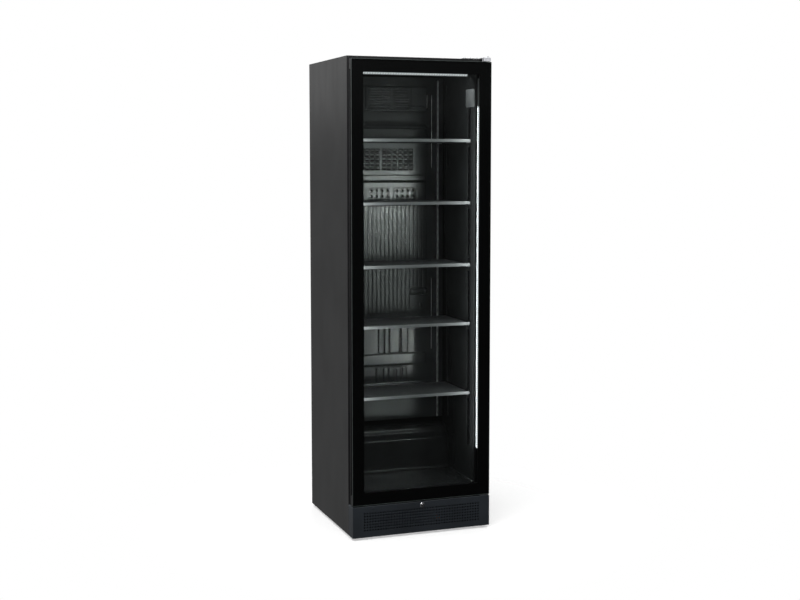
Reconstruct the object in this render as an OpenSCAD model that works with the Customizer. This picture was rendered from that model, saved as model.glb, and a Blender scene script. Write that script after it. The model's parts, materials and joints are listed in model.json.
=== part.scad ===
// Upright merchandiser cooler with one frameless glass door.
// Origin: centre of the footprint, on the floor. +Z is up, the door faces -Y and hangs on the +X side.

/* [Cabinet] */
// Outside width across the side panels
cab_w = 595; // [585:1:610]
// Depth from the front of the door glass to the rear skin's screws
total_d = 590; // [585:1:610]
// Height from the floor to the top panel
cab_h = 1930; // [1920:1:1960]
// Gap from the floor to the lower edge of the side panels
ground_gap = 10; // [9:0.5:11]
// Thickness of the sheet-metal skins
skin_t = 0.8; // [0.6:0.1:1]
// Thickness of the insulated side walls, from the skin to the liner
wall_t = 45.5; // [44:0.5:47]
// Thickness of the moulded inner liner
liner_t = 2; // [1.6:0.1:2.2]
// Distance from the front of the door glass to the cabinet's front edge
front_gap = 57; // [56.5:0.5:59]

/* [Storage space] */
// Height of the storage floor
floor_z = 183; // [181:1:186]
// Height of the step over the compressor, at its front edge
step_z = 317; // [310:1:325]
// Distance of the step's front face from the door glass
step_d = 345; // [340:1:350]
// Distance of the rear duct panel from the door glass
duct_d = 400; // [398:1:404]

/* [Door] */
// Height of the door's lower edge
door_z = 140.5; // [140:0.5:142]
// Drop from the cabinet's top to the door's top edge
door_drop = 14.6; // [14:0.2:16]
// Thickness of the whole door without its gasket
door_t = 31; // [30.5:0.5:32]
// Thickness of each glass pane
glass_t = 4; // [3:0.5:4]
// Width of the door frame's bars
stile_w = 34.5; // [34:0.5:36]
// Depth of the finger groove along the free edge
grip_depth = 13; // [10:0.5:15]

/* [Shelves] */
// Height of shelf 1, the lowest
shelf_1_z = 554; // [540:1:570]
// Height of shelf 2
shelf_2_z = 845; // [830:1:860]
// Height of shelf 3
shelf_3_z = 1090; // [1080:1:1105]
// Height of shelf 4
shelf_4_z = 1346; // [1330:1:1360]
// Height of shelf 5, the highest
shelf_5_z = 1601; // [1590:1:1615]
// Width of a shelf
shelf_w = 488; // [480:1:489]
// Depth of a shelf behind its front rail
shelf_d = 274; // [260:1:276]
// Height of a shelf's front rail
rail_h = 12; // [10:0.5:14]

/* [Base] */
// Height of the top edge of the base grille
base_h = 136; // [135:0.5:136]
// Spacing of the grille's holes
hole_pitch = 11.5; // [11:0.1:11.6]
// Diameter of the grille's holes
hole_d = 6; // [4:0.5:7]
// Number of holes along the grille
hole_columns = 44; // [30:1:44]
// Number of rows of holes
hole_rows = 7; // [5:1:7]
// Diameter of a rear roller
roller_d = 40; // [38:1:42]

/* [Hidden] */
$fn = 48;
half_w = cab_w / 2;
front_y = -total_d / 2;
cab_y = front_y + front_gap;
rear_y = total_d / 2 - 1.5;
flange_w = 12;
flange_z = cab_h - 15;
inner_x = half_w - wall_t;
ceiling_z = cab_h - 50;
liner_back_y = 243;
step_y = front_y + step_d;
duct_y = front_y + duct_d;
duct_t = 3;
bay_z = 140;
door_top = cab_h - door_drop;
door_back = front_y + door_t;
door_half = half_w - 1;
window_half = door_half - stile_w;
grip_y0 = front_y + 12;
grip_y1 = front_y + 27;
pane_y = front_y + glass_t + 12;
bead_y = pane_y + glass_t;
gasket_y = front_y + 42.7;
collar_y = front_y + 43.3;
hinge_x = half_w - 14.5;
hinge_y = front_y + 14;
pin_r = 5;
run_gap = 0.05;
lock_z = 121;
cam_y = front_y + 18.5;
cam_t = 3;
cam_reach = 30;
cam_slot_x0 = -34;
cam_slot_x1 = 12;
shelf_zs = [shelf_1_z, shelf_2_z, shelf_3_z, shelf_4_z, shelf_5_z];
shelf_front = front_y + 91;
deck_t = 1.2;
deck_edge = 8;
rail_t = 3.6;
standard_x = 221;
standard_t = 6;
standard_y = -185;
standard_z0 = 400;
standard_z1 = 1862;
side_standard_z0 = 330;
side_standard_z1 = 1840;
slot_pitch = 30;
slot_w = 4;
slot_h = 14;
fan_z = 1779;
fan_x = 0;
cond_x = -65;
cond_z = 75;
comp_x = 110;
comp_y = 195;
comp_r = 78;
foot_x = 235;
foot_y = -222;
roller_x = 250;
roller_y = 255;
gland_x = -180;
gland_z = 60;

// ---- shapes shared by several sub-parts ----

// A box given by its lowest and highest coordinates
module box(x0, x1, y0, y1, z0, z1) {
    translate([x0, y0, z0])
        cube([x1 - x0, y1 - y0, z1 - z0]);
}

// A YZ outline drawn out along X
module along_x(x0, x1) {
    translate([x0, 0, 0])
        rotate([90, 0, 90])
            linear_extrude(x1 - x0)
                children();
}

// An XZ outline drawn out along Y
module along_y(y0, y1) {
    translate([0, y1, 0])
        rotate([90, 0, 0])
            linear_extrude(y1 - y0)
                children();
}

// An XY outline drawn out along Z
module along_z(z0, z1) {
    translate([0, 0, z0])
        linear_extrude(z1 - z0)
            children();
}

// A turned profile of [radius, position] points, about an axis parallel to Y
module turned_y(x, z, profile) {
    translate([x, 0, z])
        rotate([-90, 0, 0])
            rotate_extrude()
                polygon(profile);
}

module rod_x(x0, x1, y, z, r) {
    translate([x0, y, z])
        rotate([0, 90, 0])
            cylinder(h = x1 - x0, r = r);
}

module rod_y(y0, y1, x, z, r) {
    translate([x, y0, z])
        rotate([-90, 0, 0])
            cylinder(h = y1 - y0, r = r);
}

module rod_z(z0, z1, x, y, r) {
    translate([x, y, z0])
        cylinder(h = z1 - z0, r = r);
}

// A rectangle centred on x = 0 in the XZ plane
module span(half, z0, z1) {
    translate([-half, z0])
        square([2 * half, z1 - z0]);
}

// A rectangular frame in the XZ plane
module window_frame(half_out, z0, z1, half_in, z2, z3, y0, y1) {
    along_y(y0, y1)
        difference() {
            span(half_out, z0, z1);
            span(half_in, z2, z3);
        }
}

module both_sides() {
    children();
    mirror([1, 0, 0])
        children();
}

// A pipe through a list of points, with a brazed ball at each bend
module pipe(points, r) {
    for (i = [0 : len(points) - 2]) {
        step = points[i + 1] - points[i];
        flat = norm([step[0], step[1]]);
        translate(points[i])
            rotate([0, atan2(flat, step[2]), atan2(step[1], step[0])])
                cylinder(h = norm(step), r = r, $fn = 24);
        if (i > 0)
            translate(points[i])
                sphere(r = r * 1.15, $fn = 24);
    }
}

// ---- outer casing ----

// Screws of the back panel and the rear grille, as [x, z]
back_half = half_w - 4;
back_screws = [for (z = [340, 860, 1380, 1900], s = [-1, 1]) [s * (back_half - 4), z]];
rear_screws = [for (z = [30, 285], s = [-1, 1]) [s * (back_half - 4), z]];
screw_r = 2;

module rear_screw_holes() {
    for (p = concat(back_screws, rear_screws))
        rod_y(rear_y - 12, rear_y + 2, p[0], p[1], screw_r + 0.1);
}

module side_panel() {
    t = skin_t;
    difference() {
        along_z(ground_gap, flange_z)
            polygon([[half_w - flange_w, cab_y], [half_w, cab_y], [half_w, rear_y - t],
                     [half_w - flange_w, rear_y - t], [half_w - flange_w, rear_y - 2 * t],
                     [half_w - t, rear_y - 2 * t], [half_w - t, cab_y + t],
                     [half_w - flange_w, cab_y + t]]);
        rear_screw_holes();
    }
    box(half_w - t, half_w, cab_y + t, rear_y - 2 * t, flange_z, cab_h - t);
}

module left_side_panel() {
    color("#3b3d40")
        mirror([1, 0, 0])
            side_panel();
}

module right_side_panel() {
    color("#3b3d40")
        side_panel();
}

hinge_bolt_xs = [212, 238, 264];
hinge_bolt_y = -214;

module top_panel() {
    t = skin_t;
    color("#44464a")
        difference() {
            along_x(-half_w, half_w)
                polygon([[cab_y, flange_z], [cab_y, cab_h], [rear_y - t, cab_h], [rear_y - t, flange_z],
                         [rear_y - 2 * t, flange_z], [rear_y - 2 * t, cab_h - t],
                         [cab_y + t, cab_h - t], [cab_y + t, flange_z]]);
            for (x = hinge_bolt_xs)
                rod_z(cab_h - 3, cab_h + 1, x, hinge_bolt_y, 3.1);
        }
}

module screw_holes(points, r) {
    for (p = points)
        translate(p)
            circle(r = r);
}

module back_panel() {
    color("#2b2d2f")
        along_y(rear_y - skin_t, rear_y)
            difference() {
                span(back_half, 300.5, cab_h - 5);
                screw_holes(back_screws, screw_r + 0.1);
            }
}

module rear_grille() {
    color("#2b2d2f")
        along_y(rear_y - skin_t, rear_y)
            difference() {
                span(back_half, 14, 299.5);
                screw_holes(rear_screws, screw_r + 0.1);
                translate([gland_x, gland_z])
                    circle(r = 8.5);
                for (row = [0 : 8], side = [-1, 1])
                    translate([side * 130, 105 + row * 20])
                        square([180, 7], center = true);
            }
}

// The heads and shanks of the casing's screws
module casing_screws() {
    color("silver") {
        for (p = concat(back_screws, rear_screws))
            turned_y(p[0], p[1], [[0, rear_y - 9], [screw_r, rear_y - 9], [screw_r, rear_y], [4.5, rear_y],
                                  [4, rear_y + 1.2], [0, rear_y + 1.5]]);
        for (x = [-210, 213])
            turned_y(x, 127, [[0, front_y - 1.6], [3.6, front_y - 1.3], [4.8, front_y], [2, front_y],
                              [2, front_y + 14], [0, front_y + 14]]);
    }
}

// ---- insulated storage space ----

// The storage space in section: floor, step over the compressor, back and ceiling
function space_outline(grow) = [
    [cab_y - 1, floor_z - grow], [step_y + grow, floor_z - grow], [step_y + grow, step_z - grow],
    [duct_y + 3, step_z + 45 - grow], [liner_back_y + grow, step_z + 66 - grow],
    [liner_back_y + grow, ceiling_z + grow], [cab_y - 1, ceiling_z + grow]];

suction_x = 232;
suction_y = 268;
drain_x = 60;
drain_y = 200;

module insulation_foam() {
    gap = 0.2;
    color("#d9c68c")
        difference() {
            along_x(gap + skin_t - half_w, half_w - skin_t - gap)
                polygon([[cab_y + 1, bay_z], [62, bay_z], [98, 272], [rear_y - 2, 322],
                         [rear_y - 2, cab_h - 1], [cab_y + 1, cab_h - 1]]);
            along_x(-inner_x - liner_t - gap, inner_x + liner_t + gap)
                polygon(space_outline(liner_t + gap));
            for (x = hinge_bolt_xs)
                rod_z(cab_h - 26, cab_h + 1, x, hinge_bolt_y, 3.1);
            rear_screw_holes();
            rod_z(200, 420, drain_x, drain_y, 8.3);
            rod_z(200, 1606, suction_x, suction_y, 6.2);
            rod_y(200, suction_y, suction_x, 1600, 6.2);
        }
}

module inner_liner() {
    color("#141516")
        difference() {
            along_x(-inner_x - liner_t, inner_x + liner_t)
                intersection() {
                    polygon(space_outline(liner_t));
                    translate([cab_y, 0])
                        square([600, cab_h]);
                }
            along_x(-inner_x, inner_x)
                polygon(space_outline(0));
            rod_z(300, 420, drain_x, drain_y, 5);
            rod_y(200, suction_y, suction_x, 1600, 6.2);
        }
}

module front_collar() {
    color("#101112")
        window_frame(half_w - 5.5, door_z + 0.5, flange_z, inner_x, floor_z, ceiling_z, collar_y, cab_y);
}

rib_xs = [for (i = [-8 : 8]) i * 19];

// The moulded panel in front of the evaporator, with its ribs, vents and raised upper shield
module duct_panel() {
    color("#18191a")
        difference() {
            union() {
                box(-247, 247, duct_y, duct_y + duct_t, 398, 1872);
                box(-165, 165, duct_y - 8, duct_y, 1405, 1663);
                for (x = rib_xs)
                    box(x - 4, x + 4, duct_y - 5, duct_y, 862, 1332);
                for (x = [-86, -34, 34, 86])
                    box(x - 17, x + 17, duct_y - 7, duct_y, 688, 795);
                for (x = [-76, -38, 0, 38, 76])
                    box(x - 6, x + 6, duct_y - 5, duct_y, 566, 626);
                box(-150, 150, duct_y - 5, duct_y, 634, 688);
            }
            rod_y(duct_y - 20, duct_y + 10, fan_x, fan_z, 50);
            for (side = [-1, 1], i = [0 : 3], row = [0, 1])
                rod_y(duct_y - 20, duct_y + 10, side * (32 + i * 24), 1368 + row * 21, 6.5);
            for (row = [0 : 4], i = [-3 : 3])
                box(i * 32 - 11 + (row % 2) * 12, i * 32 + 11 + (row % 2) * 12,
                    duct_y - 20, duct_y + 10, 1488 + row * 18, 1493 + row * 18);
        }
}

module fan_cover() {
    y0 = duct_y - 25;
    color("#1b1c1d")
        difference() {
            box(-165, 165, y0, duct_y, fan_z - 52, fan_z + 53);
            box(-163, 163, y0 + 2, duct_y + 1, fan_z - 50, fan_z + 51);
            for (side = [-1, 1], row = [0 : 7])
                box(side * 55 - 38, side * 55 + 38, y0 - 1, y0 + 3,
                    fan_z - 44 + row * 12, fan_z - 39 + row * 12);
        }
}

module evaporator_coil() {
    color("#b9bcc0") {
        for (side = [-1, 1])
            box(side * 216 - 1, side * 216 + 1, duct_y + duct_t, 222, 1392, 1628);
        for (x = [-210 : 15 : 210])
            box(x - 0.4, x + 0.4, 128, 214, 1400, 1620);
        for (row = [0 : 3], col = [0, 1])
            rod_x(-217, 217, 150 + col * 42, 1430 + row * 54, 4.5);
    }
}

module evaporator_motor() {
    color("#2f3133") {
        turned_y(fan_x, fan_z, [[0, 86.5], [2.5, 86.5], [2.5, 112], [14, 112], [28, 118], [28, 150],
                                [22, 156], [0, 156]]);
        for (a = [45 : 90 : 315])
            translate([fan_x, 0, fan_z])
                rotate([0, a, 0])
                    box(20, 62, 120, 123, -5, 5);
        for (a = [45 : 90 : 315])
            translate([fan_x, 0, fan_z])
                rotate([0, a, 0])
                    box(55, 62, duct_y + duct_t, 123, -5, 5);
    }
}

// ---- shelf supports ----

module standard_slots(x) {
    for (z = [standard_z0 + 10 : slot_pitch : standard_z1 - slot_h - 10])
        translate([x - slot_w / 2, z])
            square([slot_w, slot_h]);
}

module shelf_standards() {
    color("#c9cbcd")
        both_sides() {
            along_y(duct_y - standard_t, duct_y)
                difference() {
                    translate([standard_x - 6, standard_z0])
                        square([12, standard_z1 - standard_z0]);
                    standard_slots(standard_x);
                }
            box(inner_x - 5, inner_x, standard_y - 8, standard_y + 8, side_standard_z0, side_standard_z1);
        }
}

module shelf_clips() {
    color("#b5b8bb")
        both_sides()
            for (z = shelf_zs) {
                under = z - deck_edge - 0.4;
                box(inner_x - 15, inner_x - 5, standard_y - 6, standard_y + 6, under - 3, under);
                box(inner_x - 8, inner_x - 5, standard_y - 6, standard_y + 6, under - 18, under);
                box(standard_x - 4, standard_x + 4, shelf_front + shelf_d - 8, duct_y - standard_t,
                    under - 3, under);
                box(standard_x - 4, standard_x + 4, duct_y - standard_t - 3, duct_y - standard_t,
                    under - 18, under);
            }
}

// A shelf's perforated sheet with turned-down edges
module shelf_deck(z) {
    y0 = shelf_front + rail_t + 0.2;
    y1 = shelf_front + shelf_d;
    half = shelf_w / 2;
    color("#4a4c4f") {
        translate([0, 0, z + 2])
            linear_extrude(deck_t)
                difference() {
                    translate([-half, y0])
                        square([shelf_w, y1 - y0]);
                    for (i = [-9 : 9], j = [0 : 9])
                        translate([i * 25, y0 + 22 + j * 25])
                            circle(r = 4, $fn = 16);
                }
        box(-half, deck_t - half, y0, y1, z - deck_edge, z + 2);
        box(half - deck_t, half, y0, y1, z - deck_edge, z + 2);
        box(-half, half, y1 - deck_t, y1, z - deck_edge, z + 2);
    }
}

module shelf_rail(z) {
    half = shelf_w / 2 + 0.5;
    color("#8b8e92")
        along_x(-half, half)
            polygon([[shelf_front + 0.6, z - rail_h / 2], [shelf_front, z - rail_h / 2 + 1],
                     [shelf_front, z + rail_h / 2 - 1], [shelf_front + 0.6, z + rail_h / 2],
                     [shelf_front + rail_t, z + rail_h / 2], [shelf_front + rail_t, z + rail_h / 2 - 2],
                     [shelf_front + 1.8, z + rail_h / 2 - 2], [shelf_front + 1.8, 2 + z - rail_h / 2],
                     [shelf_front + rail_t, 2 + z - rail_h / 2], [shelf_front + rail_t, z - rail_h / 2]]);
}

module shelf_1_deck() {
    shelf_deck(shelf_1_z);
}

module shelf_2_deck() {
    shelf_deck(shelf_2_z);
}

module shelf_3_deck() {
    shelf_deck(shelf_3_z);
}

module shelf_4_deck() {
    shelf_deck(shelf_4_z);
}

module shelf_5_deck() {
    shelf_deck(shelf_5_z);
}

module shelf_1_rail() {
    shelf_rail(shelf_1_z);
}

module shelf_2_rail() {
    shelf_rail(shelf_2_z);
}

module shelf_3_rail() {
    shelf_rail(shelf_3_z);
}

module shelf_4_rail() {
    shelf_rail(shelf_4_z);
}

module shelf_5_rail() {
    shelf_rail(shelf_5_z);
}

// ---- lights ----

light_y = front_y + 77;
light_z = ceiling_z - 19;

module top_light_housing() {
    color("#c4c6c8")
        along_x(-228, 228)
            polygon([[light_y, ceiling_z], [light_y, light_z + 12], [light_y + 12, light_z],
                     [light_y + 22, light_z], [light_y + 22, ceiling_z]]);
}

module top_light_lens() {
    color("white")
        along_x(-226, 226)
            polygon([[light_y, light_z + 12], [light_y - 1, light_z + 11],
                     [light_y + 11, light_z - 1], [light_y + 12, light_z]]);
}

strip_x = window_half - 10;
strip_y = bead_y + 4.2;

module door_light_housing() {
    color("#a9acaf")
        both_sides()
            along_z(330, 1850)
                polygon([[strip_x + 10, strip_y], [strip_x + 10, strip_y + 13], [strip_x, strip_y + 13],
                         [strip_x, strip_y + 11], [strip_x + 6, strip_y]]);
}

module door_light_lens() {
    color("white")
        both_sides()
            along_z(331, 1737)
                polygon([[strip_x, strip_y + 11], [strip_x - 1, strip_y + 10.5],
                         [strip_x + 5, strip_y], [strip_x + 6, strip_y]]);
}

// ---- machine bay ----

module roller_bracket(x) {
    for (side = [-1, 1])
        box(x + side * 11 - 1, x + side * 11 + 1, roller_y - 20, roller_y + 20, 12.5, 36);
    rod_x(x - 12, x + 12, roller_y, roller_d / 2, 4);
}

module base_frame() {
    pan_half = half_w - skin_t - 0.3;
    color("#8f9295")
        difference() {
            union() {
                box(-pan_half, pan_half, cab_y + 2, rear_y - 2, 12, 13.5);
                both_sides()
                    box(pan_half - 1.5, pan_half, cab_y + 2, rear_y - 2, 12, 40);
                both_sides()
                    roller_bracket(roller_x);
                both_sides()
                    rod_z(12, 32, foot_x, foot_y, 11);
            }
            both_sides()
                box(roller_x - 9.9, roller_x + 9.9, roller_y - 21, roller_y + 21, 11, 15);
            both_sides()
                rod_z(11, 33, foot_x, foot_y, pin_r + run_gap);
        }
}

module front_rail() {
    rail_half = half_w - flange_w - 0.5;
    rail_y = cab_y + 2;
    color("#8f9295")
        difference() {
            union() {
                box(-rail_half, rail_half, rail_y, rail_y + 2, 104, base_h);
                box(-rail_half, rail_half, rail_y, rail_y + 24, base_h - 2, base_h);
                for (x = [-210, 213])
                    box(x - 7, x + 7, front_y + 2.1, rail_y + 1, 119, 133);
            }
            for (x = [-210, 213])
                rod_y(front_y, front_y + 20, x, 127, 2.1);
        }
}

module base_grille() {
    t = 2;
    x0 = -(hole_columns - 1) / 2 * hole_pitch;
    z0 = 38;
    color("#24282c")
        difference() {
            union() {
                along_y(front_y, front_y + t)
                    difference() {
                        span(half_w, ground_gap, base_h);
                        for (i = [0 : hole_columns - 1], j = [0 : hole_rows - 1])
                            translate([x0 + i * hole_pitch, z0 + j * hole_pitch])
                                circle(d = hole_d, $fn = 16);
                        translate([0, lock_z])
                            circle(r = 8.6);
                        screw_holes([[-210, 127], [213, 127]], 2.2);
                    }
                both_sides()
                    box(half_w - t, half_w, front_y, cab_y - 0.3, ground_gap, base_h);
                box(-half_w, half_w, front_y, cab_y - 0.3, base_h - t, base_h);
            }
            box(cam_slot_x0, cam_slot_x1, cam_y - 2.5, cam_y + 7.5, base_h - 5, base_h + 1);
        }
}

module compressor() {
    dome = [for (a = [0 : 10 : 90]) [comp_r * cos(a), 150 + 50 * sin(a)]];
    bowl = [for (a = [90 : -10 : 0]) [comp_r * cos(a), 90 - 45 * sin(a)]];
    core_dome = [for (a = [0 : 15 : 90]) [(comp_r - 8) * cos(a), 148 + 44 * sin(a)]];
    core_bowl = [for (a = [90 : -15 : 0]) [(comp_r - 8) * cos(a), 92 - 39 * sin(a)]];
    color("#1c1d1f")
        translate([comp_x, comp_y, 0])
            difference() {
                union() {
                    rotate_extrude()
                        polygon(concat(bowl, [[comp_r, 118], [comp_r + 3, 118], [comp_r + 3, 122],
                                              [comp_r, 122]], dome));
                    box(-95, 95, -60, 60, 42, 45.4);
                }
                rotate_extrude()
                    polygon(concat(core_bowl, core_dome));
                rod_y(-comp_r - 5, 0, 0, 130, 4);
                for (x = [-83, 83], y = [-48, 48])
                    rod_z(40, 48, x, y, 5.5);
            }
}

module compressor_grommets() {
    color("#202122")
        for (x = [-83, 83], y = [-48, 48])
            translate([comp_x + x, comp_y + y, 0])
                rotate_extrude()
                    polygon([[0, 13.5], [12, 13.5], [12, 41.9], [5.3, 41.9], [5.3, 46], [9, 46],
                             [9, 52], [0, 52]]);
}

// A finned block: upright fins with pipes through them
module fin_block(x0, x1, y0, y1, z0, z1, fin_gap, pipe_ys, pipe_zs, r) {
    for (x = [x0 : fin_gap : x1])
        box(x - 0.35, x + 0.35, y0, y1, z0, z1);
    for (y = pipe_ys, z = pipe_zs)
        rod_x(x0 - 8, x1 + 8, y, z, r);
}

module condenser_coil() {
    color("#9c9fa2") {
        fin_block(-203, 73, -226, -184, 24, 126, 6, [-216, -194], [38, 62, 86, 110], 3.5);
        for (x = [-212, 82])
            box(x - 1, x + 1, -228, -182, 13.5, 128);
    }
}

module fan_shroud() {
    color("#26282a")
        along_y(-181, -178)
            difference() {
                translate([-213, 13.5])
                    square([296, 114.5]);
                translate([cond_x, cond_z])
                    circle(r = 49);
            }
}

module condenser_motor() {
    color("#33363a") {
        turned_y(cond_x, cond_z, [[0, -171.5], [2.5, -171.5], [2.5, -148], [12, -148], [27, -142],
                                  [27, -108], [20, -100], [0, -100]]);
        for (a = [45 : 90 : 315])
            translate([cond_x, 0, cond_z])
                rotate([0, a, 0]) {
                    box(18, 58, -140, -137, -4, 4);
                    box(52, 58, -178, -137, -4, 4);
                }
    }
}

// A small axial fan about an axis parallel to Y
module axial_fan(x, z, y0, y1, r, shaft_r) {
    mid = (y0 + y1) / 2;
    difference() {
        union() {
            rod_y(y0, y1, x, z, 13);
            for (i = [0 : 4])
                translate([x, mid, z])
                    rotate([0, i * 72, 0])
                        translate([10, 0, 0])
                            rotate([32, 0, 0])
                                box(0, r - 10, -1, 1, -11, 11);
        }
        rod_y(y0 + 2, y1 + 1, x, z, shaft_r + run_gap);
    }
}

module evaporator_fan() {
    color("#3a3c3f")
        axial_fan(fan_x, fan_z, duct_y - 21, duct_y - 6, 45, 2.5);
}

module condenser_fan() {
    color("#3a3c3f")
        axial_fan(cond_x, cond_z, -174, -158, 45, 2.5);
}

module drip_tray() {
    color("#303235")
        difference() {
            box(12, 208, 115, 275, 206, 236);
            box(14, 206, 117, 273, 208, 237);
        }
}

module drain_tube() {
    color("#d7d9da")
        difference() {
            rod_z(238, 372.5, drain_x, drain_y, 8);
            rod_z(237, 374, drain_x, drain_y, 6);
        }
}

module refrigerant_pipes() {
    color("#b4713a") {
        pipe([[comp_x + 90, comp_y + 6, 100], [suction_x, comp_y + 6, 100], [suction_x, suction_y, 140],
              [suction_x, suction_y, 1600], [suction_x, 226, 1600], [suction_x - 8, 180, 1592]], 5);
        pipe([[20, comp_y - 40, 100], [-20, 120, 100], [-20, 40, 60], [91, -60, 60],
              [91, -194, 110]], 3.5);
        pipe([[91, -216, 38], [110, -216, 38], [110, -120, 30], [110, 20, 30]], 3.5);
        rod_y(20, 100, 110, 30, 9);
    }
}

module control_box() {
    color("#d5d6d4")
        difference() {
            box(-250, -130, 120, 230, 13.5, 100);
            rod_y(215, 240, gland_x, gland_z, 9);
        }
}

module cord_gland() {
    color("#1a1b1c")
        turned_y(gland_x, gland_z, [[3.6, rear_y - 14], [8.2, rear_y - 14], [8.2, rear_y], [12, rear_y],
                                    [11, rear_y + 1.5], [3.6, rear_y + 1.5]]);
}

// ---- hinges ----

module top_hinge_plate() {
    color("#2a2c2e")
        difference() {
            union() {
                along_z(cab_h, cab_h + 3)
                    difference() {
                        union() {
                            translate([198, -232])
                                square([94, 36]);
                            translate([hinge_x - 17, hinge_y - 10])
                                square([30, 60]);
                        }
                        for (x = hinge_bolt_xs)
                            translate([x, hinge_bolt_y])
                                circle(r = 3.1);
                    }
                box(hinge_x - 17, hinge_x + 13, hinge_y - 10, hinge_y + 12, door_top + 2, cab_h);
            }
            rod_z(door_top, cab_h + 4, hinge_x, hinge_y, pin_r + 0.02);
        }
}

// Three hex bolts on the cabinet's top, and the door's pivot bolt
module top_hinge_bolts() {
    color("#d8dadc") {
        for (x = hinge_bolt_xs)
            translate([x, hinge_bolt_y, 0]) {
                rod_z(cab_h - 24, cab_h + 3.2, 0, 0, 3);
                rod_z(cab_h + 3, cab_h + 4.2, 0, 0, 8);
                translate([0, 0, cab_h + 4.2])
                    cylinder(h = 4, r = 5.8, $fn = 6);
            }
        rod_z(door_top - 23, cab_h + 3.2, hinge_x, hinge_y, pin_r);
        rod_z(cab_h + 3, cab_h + 4.2, hinge_x, hinge_y, 10);
        translate([hinge_x, hinge_y, cab_h + 4.2])
            cylinder(h = 4, r = 8, $fn = 6);
    }
}

module bottom_hinge() {
    top = door_z - 1.4;
    color("#c9cbcd") {
        box(hinge_x - 24, hinge_x + 13, hinge_y - 10, cab_y - 0.2, base_h + 0.3, top);
        box(hinge_x - 24, half_w - flange_w - 0.4, cab_y - 0.2, cab_y + 1.8, base_h + 0.3, top);
        box(hinge_x - 24, half_w - flange_w - 0.4, cab_y, cab_y + 1.8, 90, top);
        rod_z(top - 1, door_z + 23, hinge_x, hinge_y, pin_r);
    }
}

// ---- door ----

module outer_glass() {
    color([0.06, 0.07, 0.08, 0.6])
        box(-half_w + 0.2, half_w - 0.2, front_y, front_y + glass_t, door_z, door_top);
}

frame_z0 = door_z + 38;
frame_z1 = door_top - stile_w - 1;

module inner_glass() {
    color([0.5, 0.55, 0.58, 0.3])
        box(-window_half, window_half, pane_y, pane_y + glass_t, frame_z0, frame_z1);
}

module glass_spacer() {
    color("#0c0d0e")
        window_frame(window_half, frame_z0, frame_z1, window_half - 12, frame_z0 + 12, frame_z1 - 12,
                     front_y + glass_t, pane_y);
}

module frame_bush_holes() {
    rod_z(door_top - 25, door_top + 1, hinge_x, hinge_y, 7);
    rod_z(door_z - 1, door_z + 25, hinge_x, hinge_y, 7);
}

// The frame behind the glass: three layers, the middle one set back along the free edge for fingers
module door_frame() {
    color("#1d1f21")
        difference() {
            union() {
                window_frame(door_half, door_z, door_top, window_half, frame_z0, frame_z1,
                             front_y + glass_t, door_back);
                window_frame(window_half + 1, frame_z0 - 1, frame_z1 + 1, window_half - 8,
                             frame_z0 + 8, frame_z1 - 8, bead_y, bead_y + 4);
            }
            box(-half_w - 1, grip_depth - door_half, grip_y0, grip_y1, door_z + 40, door_top - 40);
            frame_bush_holes();
            box(cam_slot_x0, cam_slot_x1, cam_y - 3.5, cam_y + 6.5, door_z - 1, door_z + 16);
        }
}

module door_gasket() {
    color("#0e0f10")
        window_frame(half_w - 11.5, door_z + 10, door_top - 12, window_half + 4.5, frame_z0 - 6,
                     frame_z1 + 6, door_back, gasket_y);
}

module hinge_bush(z0, z1, flange_z0, flange_z1) {
    difference() {
        union() {
            rod_z(z0, z1, hinge_x, hinge_y, 7);
            rod_z(flange_z0, flange_z1, hinge_x, hinge_y, 9.5);
        }
        rod_z(z0 - 2, z1 + 2, hinge_x, hinge_y, pin_r + run_gap);
    }
}

module hinge_bushes() {
    color("#e4e4df") {
        hinge_bush(door_top - 25, door_top + 1, door_top, door_top + 1);
        hinge_bush(door_z - 1, door_z + 25, door_z - 1, door_z);
    }
}

// ---- lock ----

module lock_barrel() {
    color("#dfe1e3")
        difference() {
            union() {
                turned_y(0, lock_z, [[0, front_y - 2], [8.8, front_y - 2], [10, front_y - 1],
                                     [10, front_y], [8.5, front_y], [8.5, front_y + 17], [0, front_y + 17]]);
                translate([0, front_y + 2, lock_z])
                    rotate([-90, 0, 0])
                        cylinder(h = 3, r = 12, $fn = 6);
            }
            rod_y(front_y - 3, front_y + 18, 0, lock_z, 6 + run_gap);
        }
}

module lock_plug() {
    color("#c8cacc")
        difference() {
            union() {
                rod_y(front_y - 2.4, front_y + 17.2, 0, lock_z, 6);
                rod_y(front_y + 17, front_y + 24, 0, lock_z, 4);
            }
            box(-0.7, 0.7, front_y - 3, front_y + 6, lock_z - 4, lock_z + 4);
        }
}

module lock_cam() {
    color("#b9bcbf")
        difference() {
            union() {
                box(-cam_reach, 0, cam_y, cam_y + cam_t, lock_z - 6, lock_z + 6);
                rod_y(cam_y, cam_y + cam_t, 0, lock_z, 9);
            }
            rod_y(cam_y - 1, cam_y + cam_t + 1, 0, lock_z, 4.02);
        }
}

// ---- rollers and feet ----

module roller(x) {
    color("#2b2c2e")
        difference() {
            rod_x(x - 9, x + 9, roller_y, roller_d / 2, roller_d / 2);
            rod_x(x - 10, x + 10, roller_y, roller_d / 2, 4 + run_gap);
        }
}

module levelling_foot(x) {
    color("#3c3e40") {
        rod_z(0, 8, x, foot_y, 18);
        rod_z(7, 46, x, foot_y, pin_r);
    }
}

module left_roller() {
    roller(-roller_x);
}

module right_roller() {
    roller(roller_x);
}

module left_foot() {
    levelling_foot(-foot_x);
}

module right_foot() {
    levelling_foot(foot_x);
}

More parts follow.
